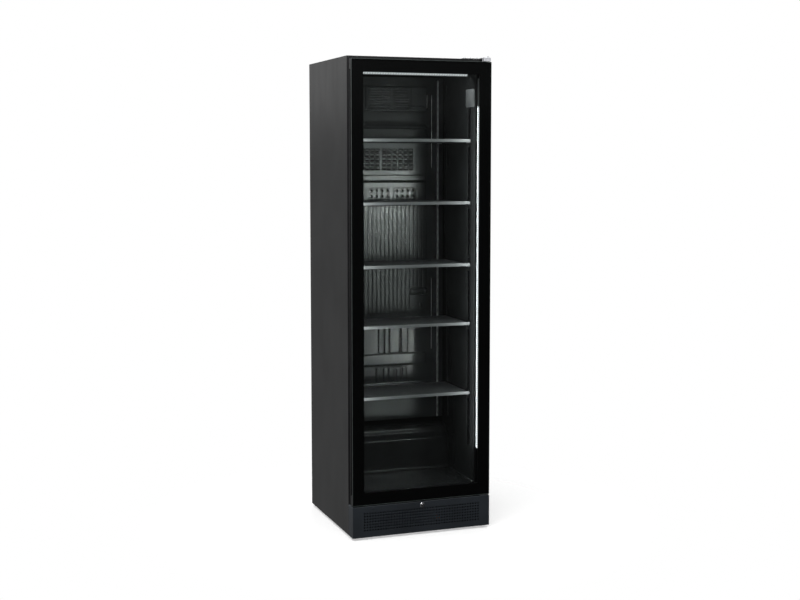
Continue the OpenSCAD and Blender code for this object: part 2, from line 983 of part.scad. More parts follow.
left_side_panel();
right_side_panel();
top_panel();
back_panel();
insulation_foam();
inner_liner();
front_collar();
duct_panel();
fan_cover();
evaporator_coil();
evaporator_motor();
shelf_standards();
shelf_clips();
top_light_housing();
top_light_lens();
base_frame();
front_rail();
base_grille();
casing_screws();
lock_barrel();
compressor();
compressor_grommets();
condenser_coil();
fan_shroud();
condenser_motor();
drip_tray();
drain_tube();
refrigerant_pipes();
control_box();
cord_gland();
rear_grille();
top_hinge_plate();
top_hinge_bolts();
bottom_hinge();
outer_glass();
inner_glass();
glass_spacer();
door_frame();
door_gasket();
door_light_housing();
door_light_lens();
hinge_bushes();
lock_plug();
lock_cam();
shelf_1_deck();
shelf_1_rail();
shelf_2_deck();
shelf_2_rail();
shelf_3_deck();
shelf_3_rail();
shelf_4_deck();
shelf_4_rail();
shelf_5_deck();
shelf_5_rail();
evaporator_fan();
condenser_fan();
left_roller();
right_roller();
left_foot();
right_foot();
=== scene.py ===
"""The looks of the glass door merchandiser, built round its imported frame.

Metres, in the frame of the CAD: +Z up, the door faces -Y and hangs on the +X side.
"""

import json
import math

import bmesh
import bpy
import numpy as np
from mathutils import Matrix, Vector

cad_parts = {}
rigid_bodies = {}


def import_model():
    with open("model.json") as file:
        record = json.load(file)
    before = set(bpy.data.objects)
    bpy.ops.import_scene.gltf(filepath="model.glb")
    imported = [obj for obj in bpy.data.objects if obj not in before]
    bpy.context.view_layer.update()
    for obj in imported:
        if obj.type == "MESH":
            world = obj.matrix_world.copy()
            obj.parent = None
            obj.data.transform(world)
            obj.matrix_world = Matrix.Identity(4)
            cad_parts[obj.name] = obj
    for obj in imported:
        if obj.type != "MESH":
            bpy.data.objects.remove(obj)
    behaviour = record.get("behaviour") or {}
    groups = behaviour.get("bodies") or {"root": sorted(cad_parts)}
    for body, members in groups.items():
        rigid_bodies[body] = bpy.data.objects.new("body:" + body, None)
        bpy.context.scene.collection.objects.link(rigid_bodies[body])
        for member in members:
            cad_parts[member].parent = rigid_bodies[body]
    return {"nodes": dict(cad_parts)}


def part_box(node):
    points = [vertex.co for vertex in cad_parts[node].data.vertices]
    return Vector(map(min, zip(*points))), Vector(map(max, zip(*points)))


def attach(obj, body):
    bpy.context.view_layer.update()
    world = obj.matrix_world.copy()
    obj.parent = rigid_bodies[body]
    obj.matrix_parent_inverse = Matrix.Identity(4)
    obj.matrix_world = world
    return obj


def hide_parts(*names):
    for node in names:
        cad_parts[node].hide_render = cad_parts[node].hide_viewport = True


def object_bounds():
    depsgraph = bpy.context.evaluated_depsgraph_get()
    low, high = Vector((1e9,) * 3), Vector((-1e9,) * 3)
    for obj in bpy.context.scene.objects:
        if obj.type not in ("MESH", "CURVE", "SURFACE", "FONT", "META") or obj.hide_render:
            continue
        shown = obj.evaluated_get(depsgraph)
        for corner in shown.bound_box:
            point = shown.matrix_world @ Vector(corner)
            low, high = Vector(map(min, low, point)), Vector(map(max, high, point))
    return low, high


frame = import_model()
cad_low, cad_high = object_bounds()
NODES = frame["nodes"]
MM = 0.001
SAME_POINT = 0.01 * MM

# ---- camera ----

# The camera's place in metres, and how far it looks down and to the right in degrees.
CAMERA_AT = (-1.8631, -5.1588, 1.5241)
CAMERA_DOWN = 5.113
CAMERA_RIGHT = 20.252


def make_camera():
    """Eye height, a little to the left of the door, looking slightly down."""
    data = bpy.data.cameras.new("camera")
    data.sensor_width = 36
    data.lens = 58.65
    data.shift_x = -0.0082
    data.shift_y = -0.03
    camera = bpy.data.objects.new("camera", data)
    camera.location = CAMERA_AT
    camera.rotation_euler = (math.radians(90 - CAMERA_DOWN), 0, math.radians(-CAMERA_RIGHT))
    bpy.context.scene.collection.objects.link(camera)
    bpy.context.scene.camera = camera


make_camera()
bpy.context.scene.view_settings.view_transform = "Standard"

# ---- places taken from the frame ----


def corners(name):
    """A node's lowest and highest corner."""
    low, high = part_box(name)
    return low.copy(), high.copy()


glass_low, glass_high = corners("outer_glass")
gasket_low, gasket_high = corners("door_gasket")
grille_low, grille_high = corners("base_grille")
liner_low, liner_high = corners("inner_liner")
duct_high = corners("duct_panel")[1]
cover_low, cover_high = corners("fan_cover")
standard_low, standard_high = corners("shelf_standards")

LINER_SKIN = 2 * MM
INNER_X = liner_high.x - LINER_SKIN
FLOOR_Z = liner_low.z + LINER_SKIN
CEILING_Z = liner_high.z - LINER_SKIN
REAR_Y = liner_high.y - LINER_SKIN
DUCT_FACE_Y = duct_high.y - 3 * MM

# ---- node helpers ----


def link(tree, socket, value):
    """Gives a socket a number or a colour, or links another node's output to it."""
    if isinstance(value, bpy.types.NodeSocket):
        tree.links.new(value, socket)
    elif isinstance(value, (tuple, list)) and len(socket.default_value) > len(value):
        socket.default_value = (*value, 1)
    else:
        socket.default_value = value


def add(tree, kind, inputs=None, **settings):
    made = tree.nodes.new("ShaderNode" + kind)
    for key, value in settings.items():
        setattr(made, key, value)
    for key, value in (inputs or {}).items():
        link(tree, made.inputs[key], value)
    return made


def dress(material, **sockets):
    """Sets or links the named sockets of a material's shader, and gives the material back."""
    tree = material.node_tree
    for key, value in sockets.items():
        link(tree, tree.nodes["Principled BSDF"].inputs[key.replace("_", " ")], value)
    return material


def new_material(name, **settings):
    """A material with its shader's constants set, and the piece's own coordinates in metres."""
    material = bpy.data.materials.new(name)
    material.use_nodes = True
    dress(material, **settings)
    return material, add(material.node_tree, "TexCoord").outputs["Object"]


# Each of these adds a node to the tree of the output that it is given.


def stretched(where, stretch):
    return add(where.id_data, "Mapping", {"Vector": where, "Scale": stretch}).outputs["Vector"]


def part(where, axis):
    return add(where.id_data, "SeparateXYZ", {0: where}).outputs[axis]


def noise(where, scale, detail):
    inputs = {"Vector": where, "Scale": scale, "Detail": detail}
    return add(where.id_data, "TexNoise", inputs).outputs[0]


def cells(where, scale, feature="F1"):
    return add(where.id_data, "TexVoronoi", {"Vector": where, "Scale": scale}, feature=feature)


def spread(value, low, high, start=0.35, end=0.65):
    """Maps a texture's value from start..end to low..high."""
    inputs = {"Value": value, "From Min": start, "From Max": end, "To Min": low, "To Max": high}
    return add(value.id_data, "MapRange", inputs).outputs[0]


def blend(share, first, second):
    return add(share.id_data, "Mix", {0: share, 6: first, 7: second}, data_type="RGBA").outputs[2]


def calc(operation, first, second=0.0):
    return add(first.id_data, "Math", {0: first, 1: second}, operation=operation).outputs[0]


def bump(height, depth, under=None):
    inputs = {"Height": height, "Distance": depth, "Strength": 1.0}
    if under is not None:
        inputs["Normal"] = under
    return add(height.id_data, "Bump", inputs).outputs["Normal"]


def shaded(colour, factor):
    return tuple(min(1.0, c * factor) for c in colour)


def cloudy(where, scale, detail, first, second):
    """Drifts between two colours."""
    return blend(spread(noise(where, scale, detail), 0, 1), first, second)


def upward(tree):
    """How much the surface faces up, from 0 to 1."""
    normal = add(tree, "NewGeometry").outputs["Normal"]
    return spread(part(normal, "Z"), 0, 1, 0.6, 0.98)


# ---- materials, one function a kind ----


def powder_coat(name, colour, rough, dust=0.0):
    """Textured stoving paint on sheet steel: orange peel, faint cloudiness and settled dust."""
    material, own = new_material(name, Specular_IOR_Level=0.5)
    tone = cloudy(own, 5, 4, shaded(colour, 0.82), shaded(colour, 1.18))
    if dust:
        film = calc("MULTIPLY", upward(own.id_data), spread(noise(own, 60, 5), 0, dust))
        tone = blend(film, tone, (0.34, 0.34, 0.33))
    peel = cells(own, 620, "SMOOTH_F1").outputs["Distance"]
    grain = noise(own, 2600, 2)
    smear = spread(noise(stretched(own, (1, 1, 0.25)), 14, 4), rough - 0.05, rough + 0.06)
    return dress(material, Base_Color=tone, Roughness=smear,
                 Normal=bump(grain, 0.000005, bump(peel, 0.00001)))


def hinge_finish(name, black, bare_from):
    """A black painted plate whose end over the hinge pin is left in bare zinc."""
    material, own = new_material(name, Specular_IOR_Level=0.5)
    bare = spread(part(own, "X"), 0, 1, bare_from, bare_from + 0.5 * MM)
    paint = cloudy(own, 9, 4, shaded(black, 0.85), shaded(black, 1.2))
    zinc = blend(cells(own, 110).outputs["Distance"], (0.74, 0.75, 0.78), (0.5, 0.51, 0.54))
    rough = spread(noise(own, 60, 4), 0.26, 0.4)
    peel = cells(own, 620, "SMOOTH_F1").outputs["Distance"]
    return dress(material, Base_Color=blend(bare, paint, zinc), Roughness=rough,
                 Normal=bump(peel, 0.00001))


def formed_plastic(name, colour, rough, wear, wave_depth, pimple_depth, fleck=0.0):
    """Glossy vacuum-formed sheet: slow waves from the mould, fine pimples, faint wiping marks."""
    material, own = new_material(name, Specular_IOR_Level=0.55)
    tone = cloudy(own, 9, 3, shaded(colour, 0.9), shaded(colour, 1.14))
    if fleck:
        specks = spread(noise(own, 1500, 2), 0, fleck, 0.66, 0.75)
        tone = blend(specks, tone, (0.3, 0.31, 0.31))
    wipe = spread(noise(stretched(own, (1, 1, 3)), 30, 5), rough - wear, rough + wear)
    waves = bump(noise(own, 34, 1), wave_depth)
    return dress(material, Base_Color=tone, Roughness=wipe,
                 Normal=bump(noise(own, 420, 3), pimple_depth, waves))


def grained_plastic(name, colour, rough):
    """Injection-moulded plastic with a spark-eroded grain."""
    material, own = new_material(name, Specular_IOR_Level=0.45)
    tone = cloudy(own, 12, 4, shaded(colour, 0.85), shaded(colour, 1.2))
    grain = cells(own, 1100, "SMOOTH_F1").outputs["Distance"]
    polish = spread(noise(own, 45, 4), rough - 0.06, rough + 0.07)
    return dress(material, Base_Color=tone, Roughness=polish, Normal=bump(grain, 0.00004))


def zinc_plate(name, colour, rough):
    """Galvanised steel with its spangle, dulled in patches."""
    material, own = new_material(name, Metallic=1.0)
    shine = part(cells(own, 110).outputs["Color"], "X")
    dull = spread(noise(own, 18, 5), 0, 0.7)
    tone = blend(shine, shaded(colour, 0.86), shaded(colour, 1.1))
    tone = blend(dull, tone, shaded(colour, 0.74))
    patches = spread(shine, rough - 0.07, rough + 0.1, 0, 1)
    return dress(material, Base_Color=tone, Roughness=patches,
                 Normal=bump(noise(own, 900, 2), 0.00001))


def brushed_metal(name, colour, rough, stretch, metal=1.0):
    """Metal ground along one direction, so its scratches are long and thin."""
    material, own = new_material(name, Metallic=metal)
    lines = noise(stretched(own, stretch), 900, 4)
    stain = noise(own, 16, 4)
    tone = blend(spread(lines, 0, 1), shaded(colour, 0.88), shaded(colour, 1.08))
    tone = blend(spread(stain, 0, 0.35), tone, shaded(colour, 0.8))
    return dress(material, Base_Color=tone, Roughness=spread(lines, rough - 0.05, rough + 0.1),
                 Normal=bump(lines, 0.000006))


def soft_rubber(name, colour, rough):
    """Flexible PVC or rubber: a dull skin with fine pores and a chalky bloom."""
    material, own = new_material(name, Specular_IOR_Level=0.35, Sheen_Weight=0.08)
    bloom = spread(noise(own, 40, 5), 0, 0.3)
    skin = spread(noise(own, 200, 3), rough - 0.08, rough + 0.08)
    pores = bump(noise(own, 2200, 3), 0.00002)
    return dress(material, Base_Color=blend(bloom, colour, shaded(colour, 2.2)), Roughness=skin,
                 Normal=pores)


def copper_tube(name):
    """Drawn copper, browned in patches."""
    material, own = new_material(name, Metallic=1.0)
    brown = spread(noise(own, 26, 5), 0, 0.85)
    tone = blend(brown, (0.5, 0.23, 0.13), (0.17, 0.08, 0.05))
    return dress(material, Base_Color=tone, Roughness=spread(brown, 0.22, 0.5, 0, 1),
                 Normal=bump(noise(own, 700, 2), 0.00001))


def foam_core(name):
    """Cut polyurethane foam: pale, cellular and dull."""
    material, own = new_material(name, Roughness=0.95, Subsurface_Weight=0.05)
    cell = cells(own, 900).outputs["Distance"]
    tone = cloudy(own, 30, 4, (0.62, 0.49, 0.25), (0.75, 0.64, 0.38))
    return dress(material, Base_Color=tone, Normal=bump(cell, 0.0002))


def pane_glass(name, tint, mirror):
    """Clear pane: see-through, with a reflection that grows at a flat angle and faint wiping marks."""
    material = bpy.data.materials.new(name)
    material.use_nodes = True
    tree = material.node_tree
    tree.nodes.remove(tree.nodes["Principled BSDF"])
    own = add(tree, "TexCoord").outputs["Object"]
    wipe = spread(noise(stretched(own, (1, 1, 0.3)), 22, 5), 0.0, 0.05)
    share = calc("MULTIPLY", add(tree, "Fresnel", {"IOR": 1.5}).outputs[0], mirror)
    waves = bump(noise(own, 3, 1), 0.00015)
    gloss = add(tree, "BsdfGlossy", {"Color": (1, 1, 1), "Roughness": wipe, "Normal": waves})
    clear = add(tree, "BsdfTransparent", {"Color": tint})
    both = add(tree, "MixShader", {0: share, 1: clear.outputs[0], 2: gloss.outputs[0]})
    tree.links.new(both.outputs[0], tree.nodes["Material Output"].inputs["Surface"])
    return material


def frit_print(name):
    """Black ceramic enamel fired on the back of the pane, with the fine stipple of its screen."""
    material, own = new_material(name, Specular_IOR_Level=0.1)
    stipple = cells(own, 1400).outputs["Distance"]
    tone = cloudy(own, 8, 3, (0.0012, 0.0013, 0.0016), (0.002, 0.0022, 0.0026))
    return dress(material, Base_Color=tone, Roughness=spread(stipple, 0.5, 0.7, 0, 1),
                 Normal=bump(stipple, 0.00001))


def pane_edge(name):
    """The ground edge of the pane: dark green-grey, matt, with grinding lines along it."""
    material, own = new_material(name, Specular_IOR_Level=0.6)
    lines = noise(stretched(own, (1, 1, 0.03)), 1500, 3)
    tone = blend(spread(lines, 0, 1), (0.02, 0.03, 0.028), (0.06, 0.08, 0.075))
    return dress(material, Base_Color=tone, Roughness=spread(lines, 0.25, 0.45),
                 Normal=bump(lines, 0.00001))


def light_lens(name, along_axis, across_axis, middle, reach, strength, pitch):
    """Ribbed diffuser, bright along its middle, with a brighter spot over each diode behind it."""
    material, own = new_material(name, Base_Color=(0.35, 0.36, 0.37), Roughness=0.35)
    along = part(own, along_axis)
    off = calc("ABSOLUTE", calc("SUBTRACT", calc("ABSOLUTE", part(own, across_axis)), middle))
    line = spread(off, 1.0, 0.06, 0.55 * reach, reach)
    spots = calc("COSINE", calc("MULTIPLY", along, 2 * math.pi / pitch))
    glow = calc("MULTIPLY", line, spread(spots, 0.5 * strength, 1.5 * strength, -1, 1))
    ribs = calc("SINE", calc("MULTIPLY", along, 2 * math.pi / (1.5 * MM)))
    material.cycles.emission_sampling = "NONE"
    return dress(material, Emission_Color=(0.94, 0.97, 1.0), Emission_Strength=glow,
                 Normal=bump(ribs, 0.00003))


def paper_label(name):
    """A blank pale label, a little mottled, under a satin film."""
    material, own = new_material(name, Specular_IOR_Level=0.5)
    tone = cloudy(own, 45, 4, (0.3, 0.31, 0.32), (0.42, 0.43, 0.44))
    film = spread(noise(own, 90, 3), 0.3, 0.45)
    return dress(material, Base_Color=tone, Roughness=film,
                 Normal=bump(noise(own, 160, 3), 0.00004))


def stage_floor(name):
    """Pale floor that thins out into the white surround away from the object."""
    material, own = new_material(name, Specular_IOR_Level=0.2)
    tone = cloudy(own, 1.5, 3, (0.86, 0.86, 0.86), (0.9, 0.9, 0.9))
    scuffs = spread(noise(own, 40, 3), 0.6, 0.75)
    away = add(own.id_data, "VectorMath", {0: own}, operation="LENGTH").outputs["Value"]
    return dress(material, Base_Color=tone, Roughness=scuffs, Alpha=spread(away, 0.55, 0, 0.45, 1.1))


BLACK_ABS = (0.024, 0.0252, 0.026)
HINGE_BLACK = (0.012, 0.012, 0.014)
# The middles of the lit strips, and where the hinge plate's bare end starts.
DOOR_STRIP_X = 254.5 * MM
TOP_STRIP_Z = 1865.5 * MM
HINGE_BARE_X = 265.8 * MM
FINISHES = {
    "side_steel": powder_coat("side_paint", (0.021, 0.0215, 0.022), 0.2, dust=0.06),
    "rear_steel": powder_coat("rear_paint", (0.03, 0.031, 0.033), 0.5),
    "grille_steel": powder_coat("grille_paint", (0.031, 0.037, 0.044), 0.4, dust=0.1),
    "foam": foam_core("foam_core"),
    "liner_plastic": formed_plastic("liner_abs", BLACK_ABS, 0.2, 0.02, 0.00008, 0.000006),
    "collar_plastic": grained_plastic("collar_plastic", (0.008, 0.008, 0.009), 0.4),
    "zinc_steel": zinc_plate("zinc_steel", (0.56, 0.57, 0.58), 0.36),
    "hinge_black": powder_coat("hinge_paint", HINGE_BLACK, 0.32, dust=0.1),
    "bright_bolt": brushed_metal("bright_bolt", (0.8, 0.81, 0.83), 0.25, (1, 1, 0.1), metal=0.15),
    "lock_chrome": brushed_metal("lock_chrome", (0.82, 0.83, 0.85), 0.14, (0.2, 1, 1)),
    "shelf_steel": powder_coat("shelf_paint", (0.065, 0.066, 0.069), 0.42, dust=0.1),
    "rail_steel": brushed_metal("rail_anodised", (0.42, 0.43, 0.44), 0.42, (0.02, 1, 1), metal=0.2),
    "light_housing": brushed_metal("light_housing", (0.42, 0.43, 0.44), 0.4, (1, 1, 0.02), metal=0.8),
    "light_lens": light_lens("door_lens", "Z", "X", DOOR_STRIP_X, 2.6 * MM, 0.9, 9 * MM),
    "door_glass": pane_glass("door_glass", (0.93, 0.945, 0.94), 0.45),
    "spacer_black": grained_plastic("spacer_black", (0.004, 0.004, 0.005), 0.45),
    "door_frame_plastic": grained_plastic("door_frame_plastic", (0.012, 0.012, 0.013), 0.36),
    "gasket_rubber": soft_rubber("gasket_rubber", (0.009, 0.009, 0.010), 0.6),
    "bush_nylon": grained_plastic("bush_nylon", (0.66, 0.65, 0.6), 0.4),
    "coil_aluminium": brushed_metal("coil_aluminium", (0.1, 0.1, 0.105), 0.4, (1, 1, 0.05), metal=0.6),
    "motor_dark": powder_coat("motor_paint", (0.03, 0.031, 0.034), 0.45),
    "fan_plastic": grained_plastic("fan_plastic", (0.018, 0.018, 0.02), 0.42),
    "compressor_black": powder_coat("compressor_paint", (0.012, 0.012, 0.013), 0.24, dust=0.35),
    "grommet_rubber": soft_rubber("grommet_rubber", (0.012, 0.012, 0.012), 0.66),
    "tray_plastic": grained_plastic("tray_plastic", (0.06, 0.06, 0.06), 0.45),
    "copper_pipe": copper_tube("copper_pipe"),
    "roller_nylon": grained_plastic("roller_nylon", (0.02, 0.02, 0.022), 0.5),
    "foot_plastic": grained_plastic("foot_plastic", (0.035, 0.036, 0.037), 0.5),
}
TOP_LENS = light_lens("top_lens", "X", "Z", TOP_STRIP_Z, 4 * MM, 0.62, 11 * MM)
DUCT_ABS = formed_plastic("duct_abs", BLACK_ABS, 0.18, 0.01, 0.00001, 0.000001, fleck=0.06)
STANDARD_ZINC = brushed_metal("standard_zinc", (0.62, 0.63, 0.64), 0.42, (1, 1, 0.1), metal=0.3)
HINGE_PLATE = hinge_finish("hinge_plate_paint", HINGE_BLACK, HINGE_BARE_X)
# Painted shade: zinc plate darkened to near-black for the frame and rail behind the base grille, so the
# grille's holes read as dark as the shade there.
FRAME_ZINC_DARKENED_AS_SHADE = zinc_plate("frame_zinc_darkened_as_shade", (0.03, 0.031, 0.034), 0.5)
SIDE_CHANNEL = powder_coat("side_channel_paint", (0.012, 0.012, 0.013), 0.3)

# ---- mesh helpers ----


def finish_mesh(mesh, material, sharp):
    """Smooth shading up to an angle, in degrees, and a material."""
    mesh.materials.append(material)
    mesh.polygons.foreach_set("use_smooth", [True] * len(mesh.polygons))
    mesh.set_sharp_from_angle(angle=math.radians(sharp))


def make_piece(name, mesh, body, stands_for=()):
    piece = bpy.data.objects.new(name, mesh)
    bpy.context.scene.collection.objects.link(piece)
    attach(piece, body)
    if stands_for:
        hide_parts(*stands_for)
    return piece


def plain_mesh(name, points, faces, material, sharp=35):
    mesh = bpy.data.meshes.new(name)
    mesh.from_pydata([tuple(p) for p in points], [], faces)
    mesh.update()
    finish_mesh(mesh, material, sharp)
    return mesh


def loft(loops, ring=False):
    """Faces through a row of loops with equal point counts: capped at both ends, or joined into a ring."""
    count = len(loops[0])
    points = [p for loop in loops for p in loop]
    pairs = [(i, i + 1) for i in range(len(loops) - 1)]
    if ring:
        pairs.append((len(loops) - 1, 0))
    faces = []
    for a, b in pairs:
        for i in range(count):
            j = (i + 1) % count
            faces.append((a * count + i, a * count + j, b * count + j, b * count + i))
    if not ring:
        faces.append(tuple(reversed(range(count))))
        faces.append(tuple(range((len(loops) - 1) * count, len(loops) * count)))
    return points, faces


def gathered(lofts):
    """Several lofts' points and faces as one."""
    points, faces = [], []
    for more, rows in lofts:
        faces += [tuple(len(points) + i for i in face) for face in rows]
        points += more
    return points, faces


def outline(x0, x1, z0, z1, radius, y, steps=5):
    """A rectangle with round corners, in a plane of constant y."""
    points = []
    centres = [(x1, z1, 0), (x0, z1, 90), (x0, z0, 180), (x1, z0, 270)]
    for x, z, start in centres:
        cx = x - math.copysign(radius, x - (x0 + x1) / 2)
        cz = z - math.copysign(radius, z - (z0 + z1) / 2)
        for i in range(steps + 1):
            a = math.radians(start + 90 * i / steps)
            points.append((cx + radius * math.cos(a), y, cz + radius * math.sin(a)))
    return points


def thicken(piece, thickness, offset=-1):
    """Gives a sheet its thickness: behind its face, or about it with an offset of 0."""
    sheet = piece.modifiers.new("sheet", "SOLIDIFY")
    sheet.thickness = thickness
    sheet.offset = offset


def round_edges(piece, width, segments):
    edge = piece.modifiers.new("edge", "BEVEL")
    edge.width = width
    edge.segments = segments
    edge.limit_method = "ANGLE"
    edge.angle_limit = math.radians(40)
    return edge


def soften(name, width):
    """Rounds a carried-over node's edges with modifiers, leaving its own mesh as it is."""
    weld = NODES[name].modifiers.new("weld", "WELD")
    weld.merge_threshold = SAME_POINT
    round_edges(NODES[name], width, 2).harden_normals = True


# ---- door ----

WINDOW_HALF = 247 * MM
WINDOW_LOW = 191 * MM
WINDOW_HIGH = 1865 * MM
PRINT_T = 0.15 * MM


def door_pane():
    """Outer pane with ground edges, full face."""
    x0, z0 = glass_low.x, glass_low.z
    x1, z1 = glass_high.x, glass_high.z
    arris = 0.7 * MM
    back = glass_high.y - PRINT_T - 0.1 * MM
    loops = [outline(x0 + arris, x1 - arris, z0 + arris, z1 - arris, 3 * MM, glass_low.y),
             outline(x0, x1, z0, z1, 3.6 * MM, glass_low.y + arris),
             outline(x0, x1, z0, z1, 3.6 * MM, back - arris),
             outline(x0 + arris, x1 - arris, z0 + arris, z1 - arris, 3 * MM, back)]
    points, faces = loft(loops)
    mesh = plain_mesh("door_pane_outer", points, faces, FINISHES["door_glass"], 20)
    mesh.materials.append(pane_edge("pane_edge"))
    for face in mesh.polygons:
        face.material_index = 0 if abs(face.normal.y) > 0.99 else 1
    make_piece("door_pane_outer", mesh, "door", ["outer_glass"])


def door_print():
    """The black border behind the outer pane, cut out round the window."""
    front = glass_high.y - PRINT_T
    back = glass_high.y - 0.03 * MM
    edge = 0.4 * MM
    outer = (glass_low.x + edge, glass_high.x - edge, glass_low.z + edge, glass_high.z - edge, 3 * MM)
    inner = (-WINDOW_HALF, WINDOW_HALF, WINDOW_LOW, WINDOW_HIGH, 4 * MM)
    loops = [outline(*outer, front), outline(*outer, back), outline(*inner, back), outline(*inner, front)]
    points, faces = loft(loops, ring=True)
    mesh = plain_mesh("door_border_print", points, faces, frit_print("frit_print"), 30)
    make_piece("door_border_print", mesh, "door")


# The gasket's section: inset from its outer edge, and depth behind the door frame, in millimetres.
GASKET_PROFILE = [(1, 0), (18.5, 0), (18.8, 1.1), (13.2, 1.7), (12, 3), (15.2, 4), (16.6, 5.5), (15.4, 7),
                  (13.6, 7.8), (17.2, 8.5), (18.7, 9.9), (17.6, 11.7), (3, 11.7), (1.6, 9.9), (2.8, 8.5),
                  (6, 7.8), (4.2, 7), (3, 5.5), (4.4, 4), (7.6, 3), (6.4, 1.7), (0.8, 1.1)]


def door_bellows():
    """Magnetic gasket: one folded section round the door, with mitred corners."""
    loops = []
    for inset, depth in GASKET_PROFILE:
        d = inset * MM
        y = gasket_low.y + min(depth * MM, gasket_high.y - gasket_low.y)
        x0, x1 = gasket_low.x + d, gasket_high.x - d
        z0, z1 = gasket_low.z + d, gasket_high.z - d
        loops.append([(x0, y, z0), (x1, y, z0), (x1, y, z1), (x0, y, z1)])
    points, faces = loft(loops, ring=True)
    mesh = plain_mesh("door_gasket_bellows", points, faces, FINISHES["gasket_rubber"], 50)
    make_piece("door_gasket_bellows", mesh, "door", ["door_gasket"])


# ---- storage space ----


def filleted(corner_points, largest, steps=6):
    """Points along an open path with round corners, each with the normal on its left-hand side."""
    path = [Vector(c) for c in corner_points]
    places = [(path[0], path[1] - path[0])]
    for before, here, after in zip(path, path[1:], path[2:]):
        come, go = (here - before).normalized(), (after - here).normalized()
        turn = come.angle_signed(go)
        room = 0.48 * min((here - before).length, (after - here).length)
        reach = min(largest * math.tan(abs(turn) / 2), room)
        radius = reach / math.tan(abs(turn) / 2)
        start = here - come * reach
        side = -math.copysign(1, turn)
        centre = start + Vector((-come.y, come.x)) * radius * side
        for i in range(steps + 1):
            a = -turn * i / steps
            way = Vector((come.x * math.cos(a) - come.y * math.sin(a),
                          come.x * math.sin(a) + come.y * math.cos(a)))
            places.append((centre + Vector((way.y, -way.x)) * radius * side, way))
    places.append((path[-1], path[-1] - path[-2]))
    return [(p, Vector((-way.y, way.x)).normalized()) for p, way in places]


def liner_shell():
    """The black inner liner, formed in one sheet with round corners, open at the front."""
    front = liner_low.y
    step_y, step_z = 50 * MM, 317 * MM
    side = [(front, FLOOR_Z), (step_y, FLOOR_Z), (step_y, step_z + 1 * MM),
            (step_y + 26 * MM, step_z + 22 * MM), (step_y + 29 * MM, step_z + 42 * MM),
            (DUCT_FACE_Y + 8 * MM, step_z + 56 * MM), (REAR_Y, step_z + 68 * MM),
            (REAR_Y, CEILING_Z), (front, CEILING_Z)]
    path = filleted(side, 13 * MM)
    round_off = 8 * MM
    rows = []
    for turn in (0, 18, 36, 54, 72, 90):
        a = math.radians(turn)
        rows.append((INNER_X - round_off * (1 - math.cos(a)), round_off * (1 - math.sin(a))))
    rows = [(-x, inset) for x, inset in rows] + [(x, inset) for x, inset in reversed(rows)]
    points = [(x, p.x + n.x * inset, p.y + n.y * inset) for x, inset in rows for p, n in path]
    count = len(path)
    faces = [tuple(range(count)), tuple(reversed(range(len(points) - count, len(points))))]
    for row in range(len(rows) - 1):
        for i in range(count - 1):
            at = row * count + i
            faces.append((at, at + count, at + count + 1, at + 1))
    mesh = plain_mesh("liner_moulded", points, faces, FINISHES["liner_plastic"], 60)
    shell = make_piece("liner_moulded", mesh, "cabinet", ["inner_liner"])
    thicken(shell, LINER_SKIN * 0.9)


def pad(x, z, x0, x1, z0, z1, corner=6.0, soft=4.0):
    """1 inside a rounded rectangle and 0 outside it, with a sloping edge. Millimetres."""
    half_x, half_z = (x1 - x0) / 2 - corner, (z1 - z0) / 2 - corner
    dx = np.abs(x - (x0 + x1) / 2) - half_x
    dz = np.abs(z - (z0 + z1) / 2) - half_z
    away = np.hypot(np.maximum(dx, 0), np.maximum(dz, 0)) + np.minimum(np.maximum(dx, dz), 0) - corner
    t = np.clip(0.5 - away / soft, 0, 1)
    return t * t * (3 - 2 * t)


def dot(x, z, cx, cz, radius, soft=3.0):
    return pad(x, z, cx - radius, cx + radius, cz - radius, cz + radius, radius, soft)


# The duct moulding's features in millimetres. A patch is x0, x1, z0, z1.
SHIELD = (-150, 166, 1455, 1656)
SHIELD_FOOT = (-156, 172, 1449, 1669)
SHIELD_LIP = (-150, 166, 1431, 1475)
VENT_BAND = (-150, 166, 1340, 1428)
VENT_PADS = ((-97, 1), (19, 117))
VENT_COLUMNS = (-84, -60, -36, -12, 32, 56, 80, 104)
VENT_LEVELS = (1367, 1390)
VENT_R = 5.6
SCOOP_LOW, SCOOP_ROWS, SCOOP_PITCH = 1487, 5, 18.7
SCOOP_COLUMNS = (-124, -101, -78, -55, -26, -3, 22, 48, 72, 95)
RIB_PITCH, RIB_HALF, RIB_TOP = 19, 8.5, 1328
HANDLE_RIM = (93, 170, 940, 968)
HANDLE_WELL = (98, 165, 946, 962)
RIB_LOW, RIB_LOW_OVER_HANDLE = 862, HANDLE_RIM[3]
LOWER_CHANNELS = ((-50, -27), (-23, -4), (0, 46), (54, 83))
LOWER_SPAN = (690, 836)
CROSS_BAND = (-150, 166, 638, 686)
SHORT_CHANNELS = ((-62, -46), (-28, -8), (-4, 20), (32, 50), (60, 78))
SHORT_SPAN = (568, 628)
FOOT_PATCH = (-232, 232, 402, 556)
BOSSES = ((141, 1631), (144, 888))
FAN_HOLE_Z, FAN_HOLE_R = 1779, 50


